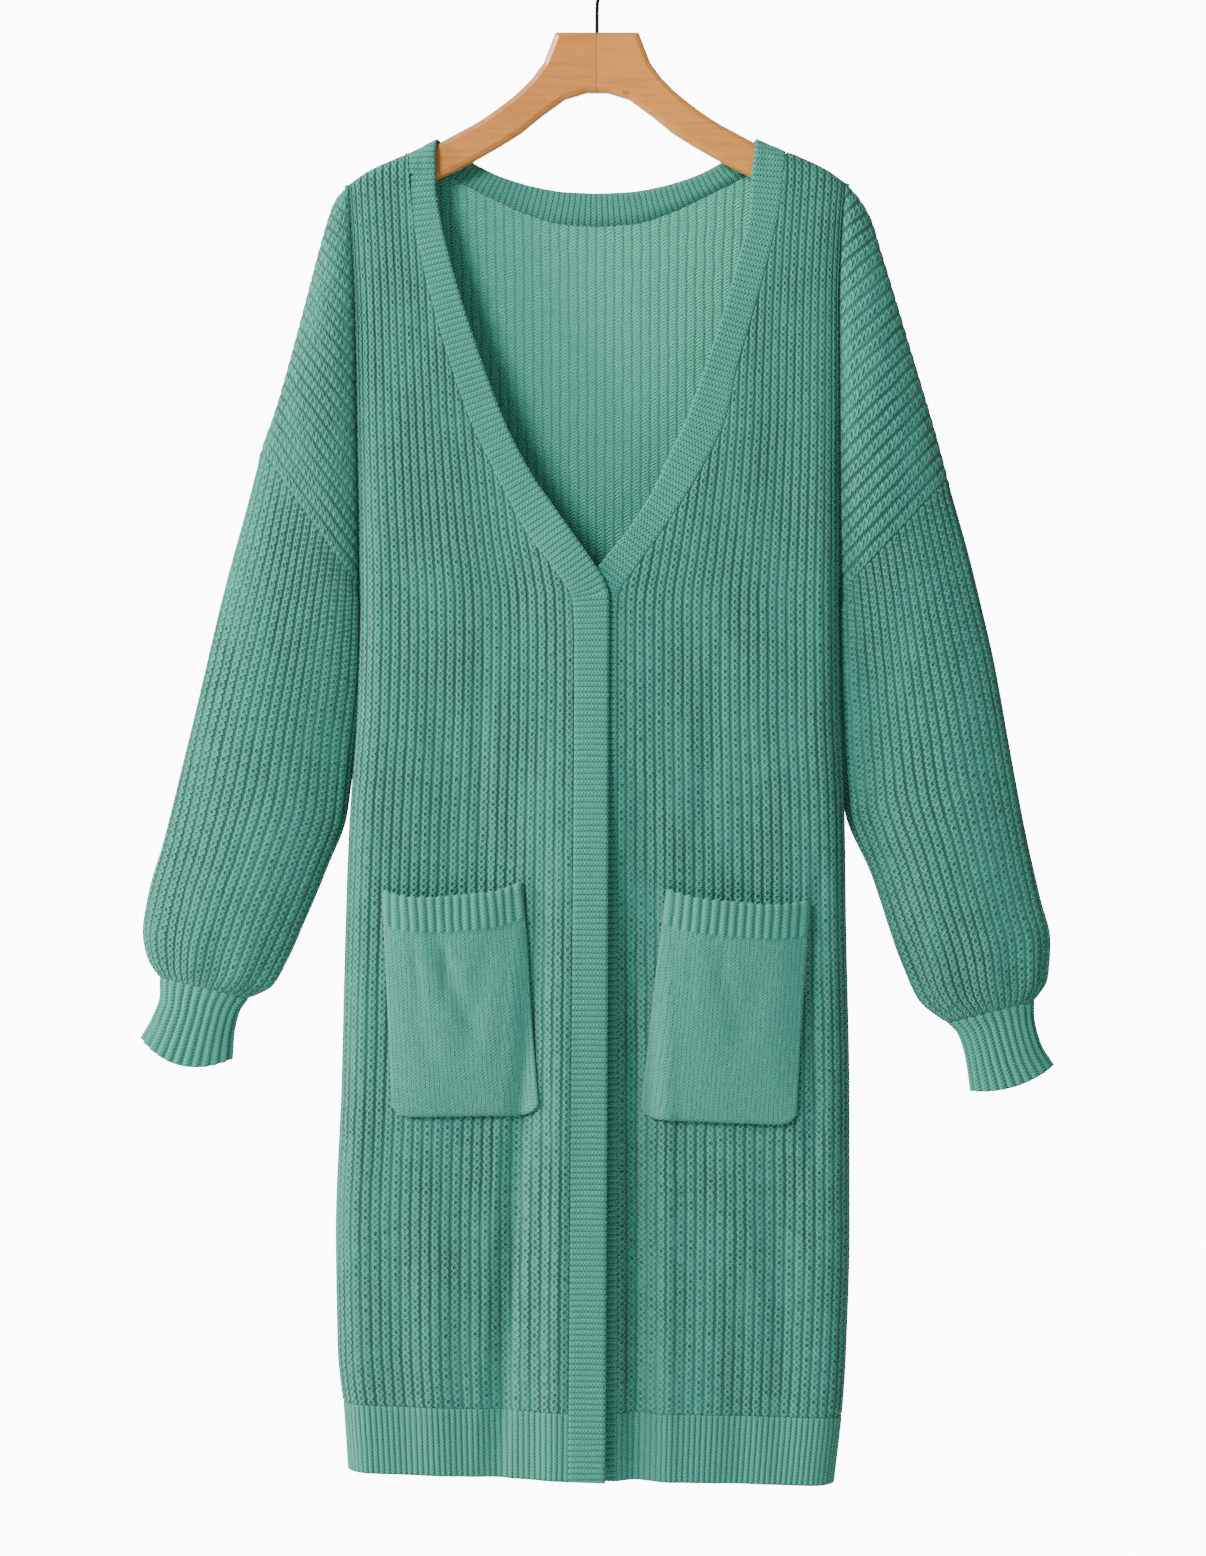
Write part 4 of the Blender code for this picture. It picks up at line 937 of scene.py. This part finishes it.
def neck_band(name):
    share = np.linspace(-1, 1, 1601)

    def place(along, across):
        at = np.abs(along)
        seam_x, seam_z = NECK("seam", at), NECK("seam_height", at)
        x = (seam_x + (NECK("free", at) - seam_x) * across) * np.sign(along)
        z = seam_z + (NECK("free_height", at) - seam_z) * across
        return x, np.minimum(z, shoulder_height(x))

    line = np.stack(place(share, 0.5), -1)
    length = even_along(share, line, 1)[1]
    ribs = round(length / BAND_RIB)
    along = even_along(share, line, ribs * RIB_POINTS)[0]
    across = np.linspace(-BAND_TUCK, 1, BAND_COLUMNS + 1)
    x, z = place(along[:, None], across[None, :])
    surface = body_points("back", False, x, z)
    rib = np.arange(len(along))[:, None] / RIB_POINTS + 0 * across
    uv = np.stack([rib, across * NECK_BAND_WIDTH / FINE_COURSE + 0 * rib], -1)
    near = from_edges(surface.shape[:2], 3, 1.6, "low high first last")
    return strip(name, surface, 1, uv, rib_relief(rib, RIB_DEPTH, near), rib_knit())


def hem_points(face, side, shares, down):
    across = front_columns(side)[0] if face == "front" else back_columns(side)[0]
    z = HEM_SEAM + (HEM_EDGE - HEM_SEAM) * down
    for _ in range(4):
        x = across(shares, z)
        top = hem_height(x) - SEAM
        z = top + (edge_height(x) - top) * down
    return body_points(face, face == "front" and side == -1, x, z)


def hem(name, face, sides, start):
    """Ribbed hem below one front panel, or below the whole back."""
    ribs = round(wale_count(start) / 2 * WALE / HEM_RIB)
    half = even_shares(start, ribs * RIB_POINTS)
    down = np.linspace(-HEM_TUCK, 1, HEM_ROWS)[:, None]
    parts = {side: hem_points(face, side, half[None, :], down) for side in sides}
    if len(sides) == 2:
        surface = np.concatenate([parts[-1][:, ::-1], parts[1][:, 1:]], 1)
    else:
        surface = parts[sides[0]]
    rib = np.broadcast_to(np.arange(surface.shape[1]) / RIB_POINTS, surface.shape[:2])
    uv = np.stack([rib, surface[..., 2] / FINE_COURSE], -1)
    near = from_edges(surface.shape[:2], 1.4, 3, "low first last")
    sign = {"front": -1, "back": 1}[face] * sides[-1]
    return strip(name, surface, sign, uv, rib_relief(rib, RIB_DEPTH, near), rib_knit())


def tube_section(turn):
    power = 2 / TUBE_SHAPE
    x = np.sign(np.cos(turn)) * np.abs(np.cos(turn)) ** power
    y = np.sign(np.sin(turn)) * np.abs(np.sin(turn)) ** power
    return x, y


def tube_angles(count, half_width, half_depth):
    """Angles round a section, at even steps along the cloth, starting at the outer edge."""
    turn = np.linspace(0, 2 * math.pi, 1441)
    x, y = tube_section(turn)
    length = np.concatenate([[0], np.cumsum(np.hypot(np.diff(x) * half_width, np.diff(y) * half_depth))])
    return np.interp(np.linspace(0, length[-1], count + 1), length, turn)


def tube_points(table, side, share, turn, out):
    """Points of one stretch of tube: share down it, turn round it, moved out from its section."""
    outer = np.stack([side * table("outer", share), table("outer_height", share)], -1)
    inner = np.stack([side * table("inner", share), table("inner_height", share)], -1)
    middle = (outer + inner) / 2
    half = np.linalg.norm(outer - inner, axis=-1, keepdims=True) / 2
    run = (outer - inner) / (2 * half)
    down = np.stack([run[..., 1], -run[..., 0]], -1) * side
    x, y = tube_section(turn)
    wide = (half[..., 0] + out) * x
    deep = (table("depth", share) + out) * y
    back = table("back", share) if "back" in table.names else 0.0
    sag = table("sag", share) * (1 - x ** 2) if "sag" in table.names else 0.0 * x
    sag = sag - TUBE_TUCK * (share == 0)
    flat = middle + wide[..., None] * run + (sag + 0 * wide)[..., None] * down
    return np.stack([flat[..., 0], deep + back, flat[..., 1]], -1)


def sleeve_folds(side, share, turn):
    """Soft folds of a sleeve: gathers above the cuff and a few long troughs down it."""
    gather = GATHER_DEPTH * ease((share - GATHERS_FROM) / GATHERS_RUN)
    gather = gather * np.cos(GATHERS * turn + GATHER_SHIFT * side)
    against_body = np.maximum(-np.cos(turn), 0) ** 4
    against_body = against_body * ease(share / HUG_TOP_FADE) * ease((HUG_UNTIL - share) / HUG_FOOT_FADE)
    spiral = SPIRAL_DEPTH * np.sin(SPIRAL_LEAN * np.pi * share + SPIRALS * turn)
    spiral = spiral * ease(share / SPIRAL_TOP_FADE) * ease((1 - share) / SPIRAL_FOOT_FADE)
    return gather + spiral + SLEEVE_HUG * against_body - SLEEVE_SLACK


def sleeve(name, side):
    return tube(name, SLEEVES[side], side, SLEEVE_ROWS, SLEEVE_WALES, TYPICAL_SLEEVE, True)


def cuff(name, side):
    return tube(name, CUFFS[side], side, CUFF_ROWS, CUFF_RIBS, TYPICAL_CUFF, False)


def tube(name, table, side, rows, ribs, typical, is_sleeve):
    """A sleeve in the body's knit, or a cuff in fine rib."""
    around = tube_angles(ribs * RIB_POINTS, *typical)[None, :]
    share, turn = np.broadcast_arrays(np.linspace(0, 1, rows)[:, None], around)
    folds = sleeve_folds(side, share, turn) if is_sleeve else 0.0
    folds = folds * ease(np.minimum(share / TUBE_TOP_FADE, (1 - share) / TUBE_FOOT_FADE))
    surface = tube_points(table, side, share, turn, folds)
    rib = np.broadcast_to(np.arange(turn.shape[1]) / RIB_POINTS, turn.shape)
    if is_sleeve:
        near = from_edges(turn.shape, 1.3, 1, "low high")
        relief = wale_relief(rib, near, 1 - near)
        course, finish = COURSE, body_knit()
    else:
        near = from_edges(turn.shape, 1.3, 1, "low")
        relief = rib_relief(rib, CUFF_RIB_DEPTH, near)
        course, finish = FINE_COURSE, rib_knit()
    length = np.linalg.norm(np.diff(surface, axis=0), axis=-1).mean(1)
    down = np.concatenate([[0], np.cumsum(length)])[:, None] + 0 * turn
    outer = tube_points(table, side, share, turn, folds + relief)
    inner = tube_points(table, side, share, turn, folds - WALL)
    cloth = Cloth()
    cloth.wall(surface, outer, inner, np.stack([rib, down / course], -1), ["low", "high"])
    return cloth.make(name, finish), cloth.area


def pocket_places(side, up, across, rib):
    """Places on the front: leaning sides, rounded foot corners, and a sagging, scalloped top edge."""
    shape = {key: np.array(value) for key, value in POCKETS[side].items()}
    foot = shape["left_foot"] + (shape["right_foot"] - shape["left_foot"]) * across[..., None]
    top = shape["left_top"] + (shape["right_top"] - shape["left_top"]) * across[..., None]
    foot[..., 1] += POCKET_FOOT_CORNER * np.abs(2 * across - 1) ** 12
    top[..., 1] -= shape["sag"] * (1 - np.abs(2 * across - 1) ** 3)
    scallop = POCKET_SCALLOP * (0.5 - 0.5 * np.cos(2 * np.pi * rib))
    scallop = scallop * ease((up - SCALLOP_FROM) / SCALLOP_RUN)
    top[..., 1] += scallop * ease(np.minimum(across, 1 - across) / SCALLOP_SIDE_FADE)
    return foot + (top - foot) * up[..., None]


def pocket(name, side):
    """A patch pocket: its own outline on the panel's surface, standing off most at the open top."""
    shape = POCKETS[side]
    height = shape["left_top"][1] - shape["left_foot"][1]
    width = math.dist(shape["right_top"], shape["left_top"])
    up, across = np.broadcast_arrays(np.linspace(0, 1, POCKET_ROWS + 1)[:, None],
                                     np.linspace(0, 1, POCKET_COLUMNS + 1)[None, :])
    rib = across * POCKET_RIBS
    rib_share = 1 - POCKET_RIB_HEIGHT / height
    spot = pocket_places(side, up, across, rib)
    panel = body_points("front", side == -1, spot[..., 0], spot[..., 1])
    rise = np.sqrt(np.clip(up * POCKET_RISE, 0, 1))
    rise = rise * (POCKET_FOOT_BULGE + (1 - POCKET_FOOT_BULGE) * up)
    bulge = POCKET_BULGE * (1 - np.abs(2 * across - 1) ** 3) * rise + pocket_folds(side, across, up)
    away = POCKET_CLEARANCE + np.maximum(bulge, 0) + POCKET_WALL
    surface = panel + piece_normals(panel, 1) * away[..., None]
    near = from_edges(up.shape, 2, 2, "low high first last")
    ridge = 1 - (0.5 + 0.5 * np.cos(2 * np.pi * rib)) ** 1.3
    relief = POCKET_RIB_DEPTH * ridge * ease((up - rib_share) / POCKET_RIB_START)
    relief = relief - POCKET_SEAM_DEPTH * np.exp(-((up - rib_share) / POCKET_SEAM_SHARE) ** 2)
    relief = relief * near - POCKET_SEAM_DEPTH * (1 - near)
    normal = piece_normals(surface, 1)
    outer = surface + normal * relief[..., None]
    inner = surface - normal * POCKET_WALL
    courses = up * height / FINE_COURSE
    cut = int(np.argmax(up[:, 0] >= rib_share)) + 1
    cloth = Cloth()
    stretches = ((np.s_[:cut + 1], across * width / FINE_WALE, "low"), (np.s_[cut:], rib, "high"))
    for finish, (rows, wales, edge) in enumerate(stretches):
        uv = np.stack([wales, courses], -1)
        cloth.wall(surface[rows], outer[rows], inner[rows], uv[rows], [edge, "first", "last"], finish)
    return cloth.make(name, plain_knit(), rib_knit()), cloth.area


def pocket_folds(side, across, up):
    """Slack folds: slanting ones and gathers under the ribs, stronger in the right pocket."""
    total = np.zeros(up.shape)
    for row in POCKET_FOLDS:
        fold = dict(zip(FOLD_NAMES, row))
        run = np.clip((fold["top_height"] - up) / (fold["top_height"] - fold["foot_height"]), 0, 1)
        middle = fold["top"] + (fold["foot"] - fold["top"]) * run
        share = np.exp(-((across - middle) / fold["half_width"]) ** 2)
        total = total - fold["depth"] * share * np.sin(np.pi * run)
    return POCKET_SLACK[side] * total


class Nodes:
    """A material's node tree, built from short calls that each return an output socket."""

    def __init__(self, name, roughness, sheen=0.0):
        self.material = bpy.data.materials.new(name)
        self.material.use_nodes = True
        self.tree = self.material.node_tree
        self.shader = self.tree.nodes["Principled BSDF"]
        self.shader.inputs["Roughness"].default_value = roughness
        self.shader.inputs["Sheen Weight"].default_value = sheen
        self.shader.inputs["Sheen Roughness"].default_value = 0.5

    def link(self, value, socket):
        if isinstance(value, bpy.types.NodeSocket):
            self.tree.links.new(value, socket)
        else:
            socket.default_value = value

    def math(self, operation, first, second=0.0, clamp=False):
        node = self.tree.nodes.new("ShaderNodeMath")
        node.operation = operation
        node.use_clamp = clamp
        self.link(first, node.inputs[0])
        self.link(second, node.inputs[1])
        return node.outputs[0]

    def times(self, first, second):
        return self.math("MULTIPLY", first, second)

    def total(self, start, *terms, clamp=False):
        """start, and each further value times its weight."""
        for value, weight in terms:
            start = self.math("ADD", start, self.times(value, weight))
        return self.math("ADD", start, 0.0, clamp) if clamp else start

    def without(self, value):
        return self.math("SUBTRACT", 1.0, value)

    def over_half(self, value):
        return self.math("SUBTRACT", value, 0.5)

    def from_middle(self, number):
        """0 in the middle of each wale or course, and a half at its edges."""
        return self.math("ABSOLUTE", self.over_half(self.math("FRACT", number)))

    def wave(self, turns):
        return self.math("SINE", self.times(turns, 2 * math.pi))

    def squared_share(self, value, whole):
        return self.math("POWER", self.math("DIVIDE", value, whole), 2.0)

    def smooth(self, value, low, high):
        """0 at low, 1 at high, eased between."""
        node = self.tree.nodes.new("ShaderNodeMapRange")
        node.interpolation_type = "SMOOTHSTEP"
        self.link(value, node.inputs["Value"])
        node.inputs["From Min"].default_value = low
        node.inputs["From Max"].default_value = high
        return node.outputs["Result"]

    def mix(self, share, first, second):
        node = self.tree.nodes.new("ShaderNodeMix")
        node.data_type = "RGBA"
        self.link(share, node.inputs[0])
        self.link(first, node.inputs[6])
        self.link(second, node.inputs[7])
        return node.outputs[2]

    def noise(self, scale, detail, stretch=(1, 1, 1)):
        place = self.tree.nodes.new("ShaderNodeTexCoord")
        mapping = self.tree.nodes.new("ShaderNodeMapping")
        mapping.inputs["Scale"].default_value = stretch
        node = self.tree.nodes.new("ShaderNodeTexNoise")
        node.inputs["Scale"].default_value = scale
        node.inputs["Detail"].default_value = detail
        self.tree.links.new(place.outputs["Object"], mapping.inputs[0])
        self.tree.links.new(mapping.outputs[0], node.inputs["Vector"])
        return node.outputs["Fac"]

    def chance(self, first, second):
        """A fixed value from 0 to 1 for each stitch."""
        both = self.tree.nodes.new("ShaderNodeCombineXYZ")
        self.link(first, both.inputs[0])
        self.link(second, both.inputs[1])
        node = self.tree.nodes.new("ShaderNodeTexWhiteNoise")
        self.tree.links.new(both.outputs[0], node.inputs["Vector"])
        return node.outputs["Value"]

    def stitches(self):
        """Wale and course numbers at each place."""
        layer = self.tree.nodes.new("ShaderNodeUVMap")
        layer.uv_map = "stitches"
        split = self.tree.nodes.new("ShaderNodeSeparateXYZ")
        self.tree.links.new(layer.outputs[0], split.inputs[0])
        return split.outputs[0], split.outputs[1]

    def uneven_stitches(self, sideways, lengthways):
        """Wale and course numbers that wander by up to about half these shares of one."""
        wale, course = self.stitches()
        sway = self.over_half(self.noise(60, 2))
        return self.total(wale, (sway, sideways)), self.total(course, (self.noise(75, 1), lengthways))

    def finish(self, colour, height, distance):
        bump = self.tree.nodes.new("ShaderNodeBump")
        bump.inputs["Strength"].default_value = 1.0
        bump.inputs["Distance"].default_value = distance * MM
        self.link(height, bump.inputs["Height"])
        self.tree.links.new(bump.outputs[0], self.shader.inputs["Normal"])
        self.link(colour, self.shader.inputs["Base Color"])
        return self.material


def colour_of(value):
    return (*value, 1.0)


def heather_and_painted_shade(nodes, light, shade):
    """Yarn colour: light to dark by the painted shade it is given, with slight fuzz and slow changes over
    the cloth.
    """
    fuzz = nodes.over_half(nodes.noise(900, 2))
    slow = nodes.over_half(nodes.noise(9, 2))
    shade = nodes.total(shade, (fuzz, 0.35), (slow, 0.18), clamp=True)
    return nodes.mix(shade, colour_of(light), colour_of(YARN_DARK_AND_SHADE))


@cache
def body_knit():
    """Half cardigan rib: each wale is a chain of rings round small holes, staggered from the next."""
    nodes = Nodes("half_cardigan_knit", 0.92, 0.2)
    wale, course = nodes.uneven_stitches(0.34, 0.9)
    number = nodes.math("FLOOR", wale)
    rise = nodes.total(course, (number, 0.5))
    chance = nodes.chance(number, nodes.math("FLOOR", rise))
    aside = nodes.from_middle(wale)
    above = nodes.from_middle(rise)
    ring = nodes.math("ADD", nodes.squared_share(aside, 0.34), nodes.squared_share(above, 0.47))
    hole = nodes.times(nodes.without(nodes.smooth(ring, 0.03, 0.5)), nodes.total(0.62, (chance, 0.5)))
    slack = nodes.smooth(nodes.noise(34, 2, (1, 1, 0.3)), 0.3, 0.65)
    gap = nodes.times(nodes.smooth(ring, 0.9, 1.8), nodes.total(0.6, (slack, 0.5)))
    twist_highlight = nodes.wave(nodes.total(0.0, (rise, 2.0), (aside, 2.6)))
    height = nodes.total(1.0, (hole, -1.0), (gap, -0.8), (twist_highlight, 0.1), (nodes.noise(1400, 2), 0.35))
    # Painted shade: the holes and the gaps between rings are darkened in the colour, and the twisted
    # strands get a faint painted highlight; the chance term is random tone per stitch
    shade = nodes.math("MAXIMUM", nodes.times(hole, 0.72), nodes.times(gap, 0.74))
    shade = nodes.total(shade, (twist_highlight, -0.06), (nodes.over_half(chance), 0.1))
    return nodes.finish(heather_and_painted_shade(nodes, YARN_LIGHT, shade), height, 1.5)


def slanted_knit(name, sheen, light, wander, furrow_from, slant, pile, height, shade, depth):
    """Upright furrows and slanting stitches, with painted shade in the furrows and painted highlights on
    the raised side of each stitch. slant, height and shade hold the weights of what they add.
    """
    nodes = Nodes(name, 0.9, sheen)
    wale, course = nodes.uneven_stitches(*wander)
    aside = nodes.from_middle(wale)
    furrow = nodes.smooth(aside, furrow_from, 0.5)
    stitch = nodes.wave(nodes.total(0.0, (course, slant["up"]), (aside, slant["aside"])))
    fibres = nodes.noise(*pile)
    raised = nodes.total(0.0, (stitch, height["stitch"]), (furrow, height["furrow"]))
    raised = nodes.total(raised, (fibres, height["pile"]))
    # Painted shade and highlight: the furrows are darker and each stitch is lighter where it is raised;
    # the weight all darkens the whole colour evenly, and the pile term is random tone that is lighter
    # where the fibres stand higher, partly a painted highlight
    dark = nodes.total(shade["all"], (furrow, shade["furrow"]), (stitch, shade["stitch"]))
    dark = nodes.total(dark, (nodes.over_half(fibres), shade["pile"]))
    return nodes.finish(heather_and_painted_shade(nodes, light, dark), raised, depth)


@cache
def inside_knit():
    """The same cloth from inside: soft upright ribs, with no holes showing."""
    return slanted_knit("half_cardigan_inside", 0.25, YARN_INSIDE, (0.4, 0.8), 0.2,
                        slant={"up": 2.0, "aside": 2.0}, pile=(1400, 2),
                        height={"stitch": 0.4, "furrow": -0.8, "pile": 0.6},
                        shade={"all": 0.0, "furrow": 0.22, "stitch": -0.17, "pile": 0.0}, depth=1.0)


@cache
def rib_knit():
    """Fine rib: rows of small slanting stitches on each rib."""
    return slanted_knit("fine_rib_knit", 0.25, YARN_LIGHT, (0.36, 0.7), 0.24,
                        slant={"up": 1.0, "aside": 1.6}, pile=(1400, 2),
                        height={"stitch": 0.3, "furrow": -0.7, "pile": 0.4},
                        shade={"all": 0.02, "furrow": 0.52, "stitch": -0.14, "pile": 0.0}, depth=0.8)


@cache
def plain_knit():
    """Stocking stitch: small V-shaped stitches in close wales, slightly felted."""
    return slanted_knit("stocking_stitch_knit", 0.3, YARN_LIGHT, (0.9, 1.2), 0.3,
                        slant={"up": 1.0, "aside": -1.7}, pile=(420, 4, (1, 1, 0.45)),
                        height={"stitch": 0.35, "furrow": -0.5, "pile": 1.3},
                        shade={"all": 0.13, "furrow": 0.26, "stitch": -0.16, "pile": -0.7}, depth=0.6)


@cache
def wood():
    """Varnished wood: long grain, a joint in the middle, one browner half and a small knot."""
    nodes = Nodes("varnished_wood", 0.38)
    nodes.shader.inputs["Coat Weight"].default_value = 0.25
    place = nodes.tree.nodes.new("ShaderNodeTexCoord")
    split = nodes.tree.nodes.new("ShaderNodeSeparateXYZ")
    nodes.tree.links.new(place.outputs["Object"], split.inputs[0])
    x, z = split.outputs[0], split.outputs[2]
    grain = nodes.smooth(nodes.noise(26, 6, (1.0, 6.0, 9.0)), 0.35, 0.7)
    fine = nodes.noise(160, 4, (1.0, 8.0, 12.0))
    aside = nodes.squared_share(nodes.math("SUBTRACT", x, KNOT[0] * MM), KNOT_SIZE[0] * MM)
    above = nodes.squared_share(nodes.math("SUBTRACT", z, KNOT[1] * MM), KNOT_SIZE[1] * MM)
    knot = nodes.without(nodes.smooth(nodes.math("ADD", aside, above), 0.2, 1.6))
    joint = nodes.without(nodes.smooth(nodes.math("ABSOLUTE", x), 0.0001, 0.0007))
    half = nodes.smooth(nodes.times(x, -1.0), -0.0004, 0.0004)
    shade = nodes.total(0.0, (grain, 0.35), (fine, 0.25), (half, 0.22))
    shade = nodes.math("MAXIMUM", shade, nodes.times(knot, 0.85), clamp=True)
    colour = nodes.mix(shade, colour_of(WOOD_LIGHT), colour_of(WOOD_DARK))
    colour = nodes.mix(nodes.times(joint, 0.6), colour, colour_of(WOOD_JOINT))
    return nodes.finish(colour, nodes.total(0.0, (fine, 0.3), (joint, -1.0)), 0.12)


@cache
def black_wire():
    """Black lacquered wire with slight unevenness."""
    nodes = Nodes("black_lacquered_wire", 0.32)
    nodes.shader.inputs["Metallic"].default_value = 0.6
    wear = nodes.noise(220, 3)
    colour = nodes.mix(nodes.smooth(wear, 0.4, 0.8), colour_of(WIRE_DARK), colour_of(WIRE_LIGHT))
    return nodes.finish(colour, wear, 0.05)


def declare(made, node):
    """The piece rides with the frame and stands for its CAD node, which is hidden; its cut is looked up
    but not passed on.
    """
    piece, area = made
    flat = CUTS[node]
    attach(piece, "root")
    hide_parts(node)
    max(area, 0.3 * flat[0] * flat[1])


def garment():
    declare(front_panel("front_right_knit", -1), "front_right")
    declare(front_panel("front_left_knit", 1), "front_left")
    declare(back_panel("back_knit"), "back")
    for side, word in ((-1, "right"), (1, "left")):
        arm, wrist, hem_front, band, patch = (
            kind + "_" + word for kind in ("sleeve", "cuff", "hem_front", "band_front", "pocket"))
        declare(sleeve(arm + "_knit", side), arm)
        declare(cuff(wrist + "_knit", side), wrist)
        made = hem(hem_front + "_knit", "front", (side,), front_start(side, SEAM))
        declare(made, hem_front)
        declare(front_band(band + "_knit", side), band)
        declare(pocket(patch + "_knit", side), patch)
    declare(hem("hem_back_knit", "back", (-1, 1), 0.0), "hem_back")
    declare(neck_band("band_back_neck_knit"), "band_back_neck")


def hanger():
    for name, finish in (("hanger_body", wood), ("hanger_hook", black_wire)):
        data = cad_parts[name].data
        data.materials.clear()
        data.materials.append(finish())


def area_light(name, place, size, power):
    data = bpy.data.lights.new(name, "AREA")
    data.shape = "SQUARE"
    data.size = size
    data.energy = power
    lamp = bpy.data.objects.new(name, data)
    lamp.location = place
    direction = Vector(LIGHT_TARGET) - Vector(place)
    lamp.rotation_euler = direction.to_track_quat("-Z", "Y").to_euler()
    bpy.context.scene.collection.objects.link(lamp)


def studio():
    """Plain pale floor, pale surroundings and soft light from the upper left."""
    size = FLOOR_REACH
    mesh = bpy.data.meshes.new("studio_floor")
    corners = [(-size, -size, FLOOR), (size, -size, FLOOR), (size, size, FLOOR), (-size, size, FLOOR)]
    mesh.from_pydata(corners, [], [(0, 1, 2, 3)])
    nodes = Nodes("pale_floor", 0.95)
    nodes.shader.inputs["Base Color"].default_value = (0.9, 0.9, 0.9, 1)
    mesh.materials.append(nodes.material)
    floor = bpy.data.objects.new("studio_floor", mesh)
    bpy.context.scene.collection.objects.link(floor)
    floor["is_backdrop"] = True
    world = bpy.data.worlds.new("pale_studio")
    world.use_nodes = True
    tree = world.node_tree
    background = tree.nodes["Background"]
    background.inputs["Color"].default_value = (1.0, 1.0, 1.0, 1)
    place = tree.nodes.new("ShaderNodeTexCoord")
    split = tree.nodes.new("ShaderNodeSeparateXYZ")
    strength = tree.nodes.new("ShaderNodeMapRange")
    strength.interpolation_type = "SMOOTHSTEP"
    ranges = {"From Min": BRIGHT_FROM, "From Max": BRIGHT_TO, "To Min": AMBIENT, "To Max": BRIGHT_BEHIND}
    for name, value in ranges.items():
        strength.inputs[name].default_value = value
    tree.links.new(place.outputs["Generated"], split.inputs[0])
    tree.links.new(split.outputs[1], strength.inputs["Value"])
    tree.links.new(strength.outputs["Result"], background.inputs["Strength"])
    bpy.context.scene.world = world
    area_light("key_light", KEY_PLACE, KEY_SIZE, KEY_POWER)
    area_light("side_light", SIDE_PLACE, SIDE_SIZE, SIDE_POWER)


def camera():
    data = bpy.data.cameras.new("photo_camera")
    data.sensor_width = 36.0
    data.lens = data.sensor_width * CAMERA_DISTANCE / PHOTO_HEIGHT
    eye = bpy.data.objects.new("photo_camera", data)
    eye.location = (PHOTO_MIDDLE[0], -CAMERA_DISTANCE, PHOTO_MIDDLE[1])
    eye.rotation_euler = (math.pi / 2, 0, 0)
    bpy.context.scene.collection.objects.link(eye)
    bpy.context.scene.camera = eye


camera()
studio()
hanger()
garment()
boxes = {"cad": cad_box, "visual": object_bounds()}
{name: [list(corner) for corner in box] for name, box in boxes.items()}
